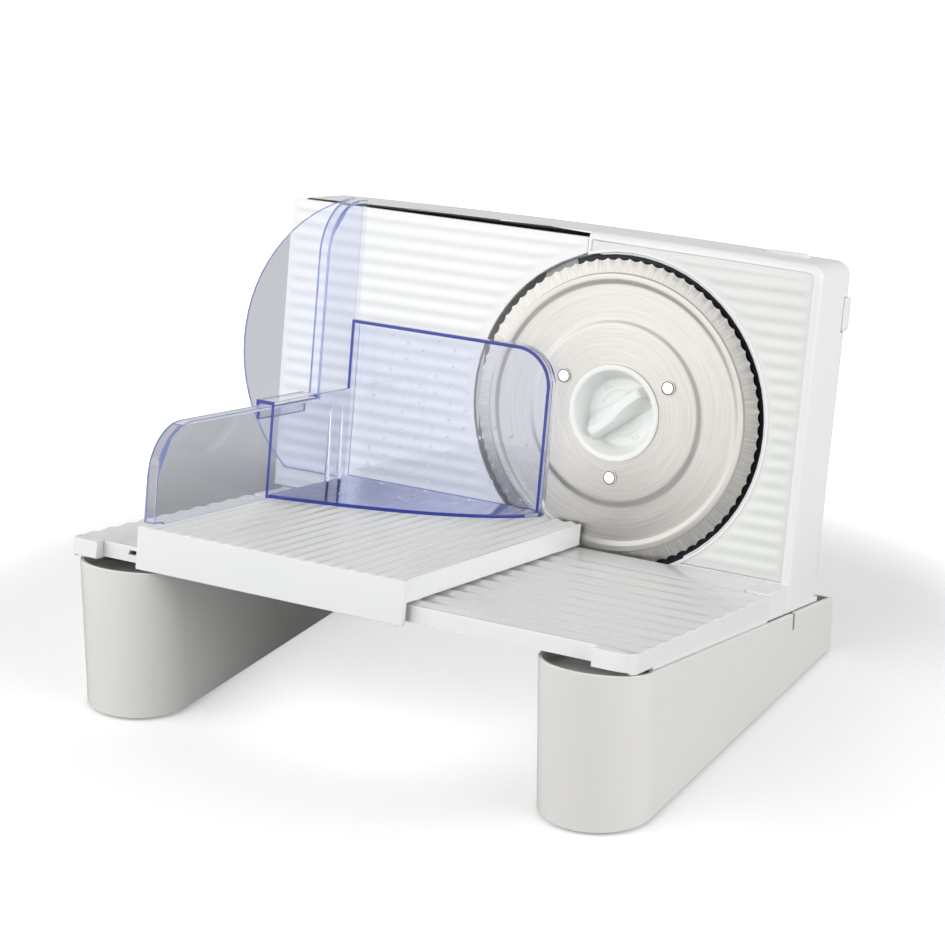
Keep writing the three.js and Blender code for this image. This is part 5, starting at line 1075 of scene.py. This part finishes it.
def grip_height(x, z):
    s = x * math.cos(GRIP_TURN) + z * math.sin(GRIP_TURN)
    t = -x * math.sin(GRIP_TURN) + z * math.cos(GRIP_TURN)
    side = max(-1.0, min(1.0, s / 14.0))
    across = t - 1.7 * math.sin(side * math.pi / 2)
    pull = abs(side)
    scooped = side * across < 0
    flat = 2.1 - 0.4 * pull
    slope = 4.2 + 3.4 * pull if scooped else 4.2 - 0.9 * pull
    share = max(0.0, (abs(across) - flat) / slope)
    steep = math.sqrt(max(0.0, 1 - share * share))
    hollow = max(0.0, 1 - share) ** 1.5
    body = steep + (hollow - steep) * pull if scooped else steep
    end = max(0.0, (abs(s) - 16.8) / 4.4)
    return GRIP_HEIGHT * body * math.sqrt(max(0.0, 1 - end * end)) if share < 1 else 0.0


def floor_marks(x, z):
    radius, turn = math.hypot(x, z), math.degrees(math.atan2(z, x))
    mark = 0.0
    for centre in (122.0, -58.0):
        if abs((turn - centre + 180) % 360 - 180) < 42:
            mark = max(mark, 1.0 - (abs(radius - 12.6) / 0.9) ** 4)
    for centre in (128.0, -52.0):
        u = radius * math.cos(math.radians(turn - centre)) - 16.2
        v = radius * math.sin(math.radians(turn - centre))
        if abs(u) < 1.5 and abs(v) < 1.8:
            mark = max(mark, 1.0 if max(abs(u) / 1.5, abs(v) / 1.8) > 0.5 else 0.4)
    return 0.28 * mark


def knob_level(x, z, depth):
    lift = CUP_FLOOR - grip_height(x, z)
    return min(CUP_FLOOR - floor_marks(x, z) if depth is None else depth, lift)


def lock_knob():
    rows = [(0.6 + 0.62 * k, None) for k in range(29)]
    rows += [(18.9, 7.45), (19.3, 7.0), (20.3, 4.6), (21.3, 2.1), (22.4, -0.4), (23.3, -2.4), (23.6, -3.0),
             (24.0, -3.35), (24.5, -3.5), (26.0, -3.5), (26.5, -3.4), (26.85, -3.15), (27.0, -2.75),
             (27.0, -2.62), (24.9, -2.4), (24.9, 10.2), (24.5, 10.7), (4.6, 10.7), (4.3, 10.5), (4.3, 9.6)]
    rings = []
    for radius, depth in rows:
        gripped = depth is None or 18.0 < radius < 21.0
        places = [(x, z) for x, z, _ in circle(radius, 0.0, KNOB_STEPS)]
        rings.append([(x, knob_level(x, z, depth) if gripped else depth, AXLE_LEVEL + z) for x, z in places])
    bm = bmesh.new()
    bm.from_mesh(ringed_mesh("lock_knob_rings", rings))
    bm.transform(MACHINE)
    print("knob faces:", len(bm.faces))
    piece = settle("lock_knob_dressed", bm, [KNOB_WHITE], 60.0)
    return seat(piece, "lock_knob", "white_plastic", "blade_lock_knob")


lock_knob()

# %% [markdown]
# The food holder is one clear casting. Its back and floor carry small domes that keep wet food from sticking,
# set out on a slanting lattice by the same tree as the fasteners. Its short wall has two gussets that come to
# a point. The fence has a flange that is carried on round its low rounded corner.

# %% Details of the clear guards
HOLDER_WALL, HOLDER_BASE = -6.9, 16.2
DOME_PITCH, DOME_SLANT = 10.05, 3.33
GUSSET_BASE, GUSSET_TOP, GUSSET_WALL = 16.0, 63.6, -162.1


def dome_shape():
    rings = [circle(1.2, -0.15, 12), circle(1.17, 0.08, 12), circle(0.98, 0.5, 12), circle(0.62, 0.78, 12),
             circle(0.18, 0.9, 12)]
    return ringed_mesh("dome_shape", rings)


def holder_domes():
    spots, facings = [], []
    for k in range(-1, 11):
        x = -139.6 + DOME_PITCH * k
        z = (101.4 - DOME_SLANT * k) % DOME_PITCH
        while z < 103:
            if z > 19 and (x < -84 or z < 61):
                spots.append((x, HOLDER_WALL, z))
                facings.append((0.0, -1.0, 0.0))
            z += DOME_PITCH
    for x in (-136.0, -107.5, -78.5):
        for y in (-12.8, -27.5, -42.6, -58.9):
            if y > -0.6 * (-35 - x) - 8:
                spots.append((x, y, HOLDER_BASE))
                facings.append((0.0, 0.0, 1.0))
    return fasteners("holder_domes", dome_shape(), spots, facings, CLEAR_HOLDER)


def gusset(y):
    stations = []
    for share in np.linspace(0, 1, 9):
        z = GUSSET_BASE + (GUSSET_TOP - GUSSET_BASE) * share
        half = 1.1 * (1 - share) ** 0.7 + 0.12
        depth = 2.6 * (1 - share) ** 0.8 + 0.1
        ring = [(GUSSET_WALL, y - half, z)]
        for turn in np.linspace(-math.pi / 2, math.pi / 2, 9):
            ring.append((GUSSET_WALL + 0.15 + depth * math.cos(turn), y + half * math.sin(turn), z))
        ring.append((GUSSET_WALL, y + half, z))
        stations.append(ring)
    return ringed_mesh("gusset", stations)


def corner_flange():
    corners = ((-171.28, 27.98), (-165.5, 27.98), (-165.5, 26.02), (-171.28, 26.02))
    rings = []
    for turn in np.linspace(math.radians(104), math.radians(164), 15):
        rings.append([(x, -169.0 + r * math.cos(turn), 37.2 + r * math.sin(turn)) for x, r in corners])
    return ringed_mesh("corner_flange", rings)


print("details of the guards ready")

# %% [markdown]
# Each guard becomes one piece with its details. Faces that lie on the guard's own skin keep their finish, cut
# edge or sheet, and the faces of the details are told from them by their distance to that skin.

# %% Fence and food holder
SHEET, DETAIL, FLOOR, BACK = 0, 2, 3, 4


def joined(name, bm, extra):
    skin = BVHTree.FromBMesh(bm)
    marks = [face.material_index for face in bm.faces]
    body = object_from(name + "_body", as_mesh(name + "_body", bm))
    details = object_from(name + "_details", as_mesh(name + "_details", extra))
    union = body.modifiers.new("join", "BOOLEAN")
    union.operation, union.solver, union.object = "UNION", "EXACT", details
    result = body.evaluated_get(bpy.context.evaluated_depsgraph_get())
    mesh = bpy.data.meshes.new_from_object(result)
    bpy.data.objects.remove(body)
    bpy.data.objects.remove(details)
    whole = bmesh.new()
    whole.from_mesh(mesh)
    bmesh.ops.remove_doubles(whole, verts=whole.verts, dist=2e-6)
    for face in whole.faces:
        _, _, index, gap = skin.find_nearest(face.calc_center_median())
        face.material_index = marks[index] if gap < 1e-5 else DETAIL
    print(name, "faces", len(whole.faces), "open edges", sum(not e.is_manifold for e in whole.edges))
    return whole


def clear_fence():
    extra = bmesh.new()
    extra.from_mesh(corner_flange())
    extra.transform(MACHINE)
    bm = mark_edges(joined("fence", rounded_copy("fence", 0.4), extra))
    piece = settle("fence_dressed", bm, [CLEAR_FENCE, FENCE_EDGE])
    return seat(piece, "carriage", "clear_blue_plastic", "fence")


def food_holder():
    bm = rounded_copy("food_holder", 0.4)
    extra = holder_domes()
    gate_ring = oval_bead("gate_ring", (-98.5, HOLDER_WALL, 37.8), (2.6, 0, 0), (0, 0, 2.6), 0.4)
    for mesh in (gusset(-32.8), gusset(-19.9), gate_ring):
        extra.from_mesh(mesh)
    extra.transform(MACHINE)
    bm = joined("holder", mark_edges(bm), extra)
    for face in bm.faces:
        spot, facing = machine_view(face)
        if face.material_index == SHEET and abs(spot.z - HOLDER_BASE) < 0.1 and facing.z > 0.9:
            face.material_index = FLOOR
        elif face.material_index == SHEET and abs(spot.y - HOLDER_WALL) < 0.1 and facing.y < -0.9:
            face.material_index = BACK
    looks = [CLEAR_HOLDER, HOLDER_EDGE, HOLDER_DOME, HOLDER_FLOOR, HOLDER_BACK]
    return seat(settle("food_holder_dressed", bm, looks), "holder", "clear_blue_plastic", "food_holder")


clear_fence()
food_holder()

# %% [markdown]
# What is left keeps the shape of its solid and only needs the right finish.

# %% Finishes for the inner pieces
KEPT = {
    STEEL: ("blade_spindle", "stop_guide_rod_upper", "stop_guide_rod_lower", "motor_shaft", "hinge_pin_left",
            "hinge_pin_right", "power_spring", "safety_spring"),
    ACETAL: ("blade_gear", "dial_cam", "guide_bush_upper", "guide_bush_lower"),
    BRASS: ("spindle_bush", "worm_bearing"),
    RUBBER: tuple(n for n in frame["nodes"] if n.startswith("foot")),
    DARK_PLASTIC_AND_PAINTED_SHADE: ("power_switch", "safety_switch"),
}
named = {node: look for look, members in KEPT.items() for node in members if node in frame["nodes"]}
for node, thing in frame["nodes"].items():
    if thing.hide_render:
        continue
    look = named.get(node, ZINC)
    thing.data.materials.clear()
    thing.data.materials.append(look)
    print("kept", node, look.name)

# %% [markdown]
# The studio is a white sweep. The floor is a real surface that takes the shadow. Near the machine it adds just
# enough of its own white to reach the white of the background, and further out it is all background. Right
# under the machine it glows more, a painted light that lifts the machine's shadow there.
# The camera sees the whole of that white, gloss sees some of it, and clear plastic lets only a little through.

# %% Studio floor and world
THROUGH_PLASTIC = 0.28
IN_GLOSS = 0.6
FLOOR_HALF = 6
WHITE_LIGHT = (1.0, 1.0, 1.0, 1.0)


def background_seen(tree):
    rays = add_node(tree, "ShaderNodeLightPath").outputs
    through = calc(tree, "MULTIPLY", rays["Is Transmission Ray"], THROUGH_PLASTIC)
    in_gloss = calc(tree, "SUBTRACT", rays["Is Glossy Ray"], rays["Is Transmission Ray"])
    mirrored = calc(tree, "MULTIPLY_ADD", calc(tree, "MAXIMUM", in_gloss, 0.0), IN_GLOSS, through)
    return calc(tree, "ADD", mirrored, rays["Is Camera Ray"])


def floor_finish():
    look, tree, shader, place = new_finish("studio_floor")
    by_camera = add_node(tree, "ShaderNodeLightPath").outputs["Is Camera Ray"]
    fill(tree, shader, {
        "Base Color": between(tree, by_camera, 0.33, 0.85, 0.0, 1.0), "Roughness": 0.9,
        "Specular IOR Level": 0.0})
    reach = vector_calc(tree, "LENGTH", {0: place})["Value"]
    # Painted light: the floor glows more right under the machine, which lightens the shadow there.
    under = between(tree, reach, 0.64, 0.22, 0.07, 0.18, interpolation_type="SMOOTHSTEP")
    around = between(tree, reach, 0.22, 1.0, 0.28, 0.45, interpolation_type="SMOOTHSTEP")
    strength = calc(tree, "MULTIPLY", calc(tree, "MAXIMUM", under, around), background_seen(tree))
    glow = add_node(tree, "ShaderNodeEmission", {"Color": WHITE_LIGHT, "Strength": strength})
    both = add_node(tree, "ShaderNodeAddShader", {0: shader.outputs["BSDF"], 1: glow.outputs["Emission"]})
    fill(tree, tree.nodes["Material Output"], {"Surface": both.outputs["Shader"]})
    return look


def studio_floor():
    corners = [(x * FLOOR_HALF, y * FLOOR_HALF, cad_low.z) for x, y in ((-1, -1), (1, -1), (1, 1), (-1, 1))]
    mesh = mesh_of("studio_floor", corners, [(0, 1, 2, 3)])
    mesh.materials.append(floor_finish())
    floor = object_from("studio_floor", mesh)
    return floor


def studio_world():
    world = bpy.data.worlds.new("studio_world")
    scene.world = world
    world.use_nodes = True
    tree = world.node_tree
    strength = between(tree, background_seen(tree), 0.32, 1.0, 0.0, 1.0)
    fill(tree, tree.nodes["Background"], {"Color": WHITE_LIGHT, "Strength": strength})
    return world


print("studio:", studio_floor().name, studio_world().name)

# %% [markdown]
# Soft light comes from the front left and from the right, and little from above, so tops look greyer than
# fronts. A weak lamp lifts the back. A card stands where the blade mirrors it, and only shiny things see it.
# No lamp shows through the clear plastic, and the first and third show in no gloss.

# %% Lamps
LAMP_AIM = Vector((0.0, 0.02, 0.1))


def softbox(name, azimuth, elevation, distance, size, watts):
    away = from_angles(azimuth, elevation)
    lamp = bpy.data.lights.new(name, "AREA")
    lamp.shape = "RECTANGLE"
    lamp.size, lamp.size_y = size
    lamp.energy = watts
    holder = bpy.data.objects.new(name, lamp)
    holder.location = LAMP_AIM + away * distance
    holder.rotation_euler = away.to_track_quat("Z", "Y").to_euler()
    holder.visible_transmission = False
    scene.collection.objects.link(holder)
    return holder


front_left = softbox("front_left_softbox", -36, 27, 3.0, (3.6, 2.8), 95)
right = softbox("right_softbox", 88, 12, 2.9, (3.0, 2.4), 88)
rear = softbox("rear_softbox", 196, 9, 3.0, (2.4, 1.9), 18)
card = softbox("blade_card", -40, 12, 2.0, (3.0, 1.6), 24)
front_left.visible_glossy = rear.visible_glossy = False
card.visible_diffuse = False
print("lamps:", front_left.name, right.name, rear.name, card.name)
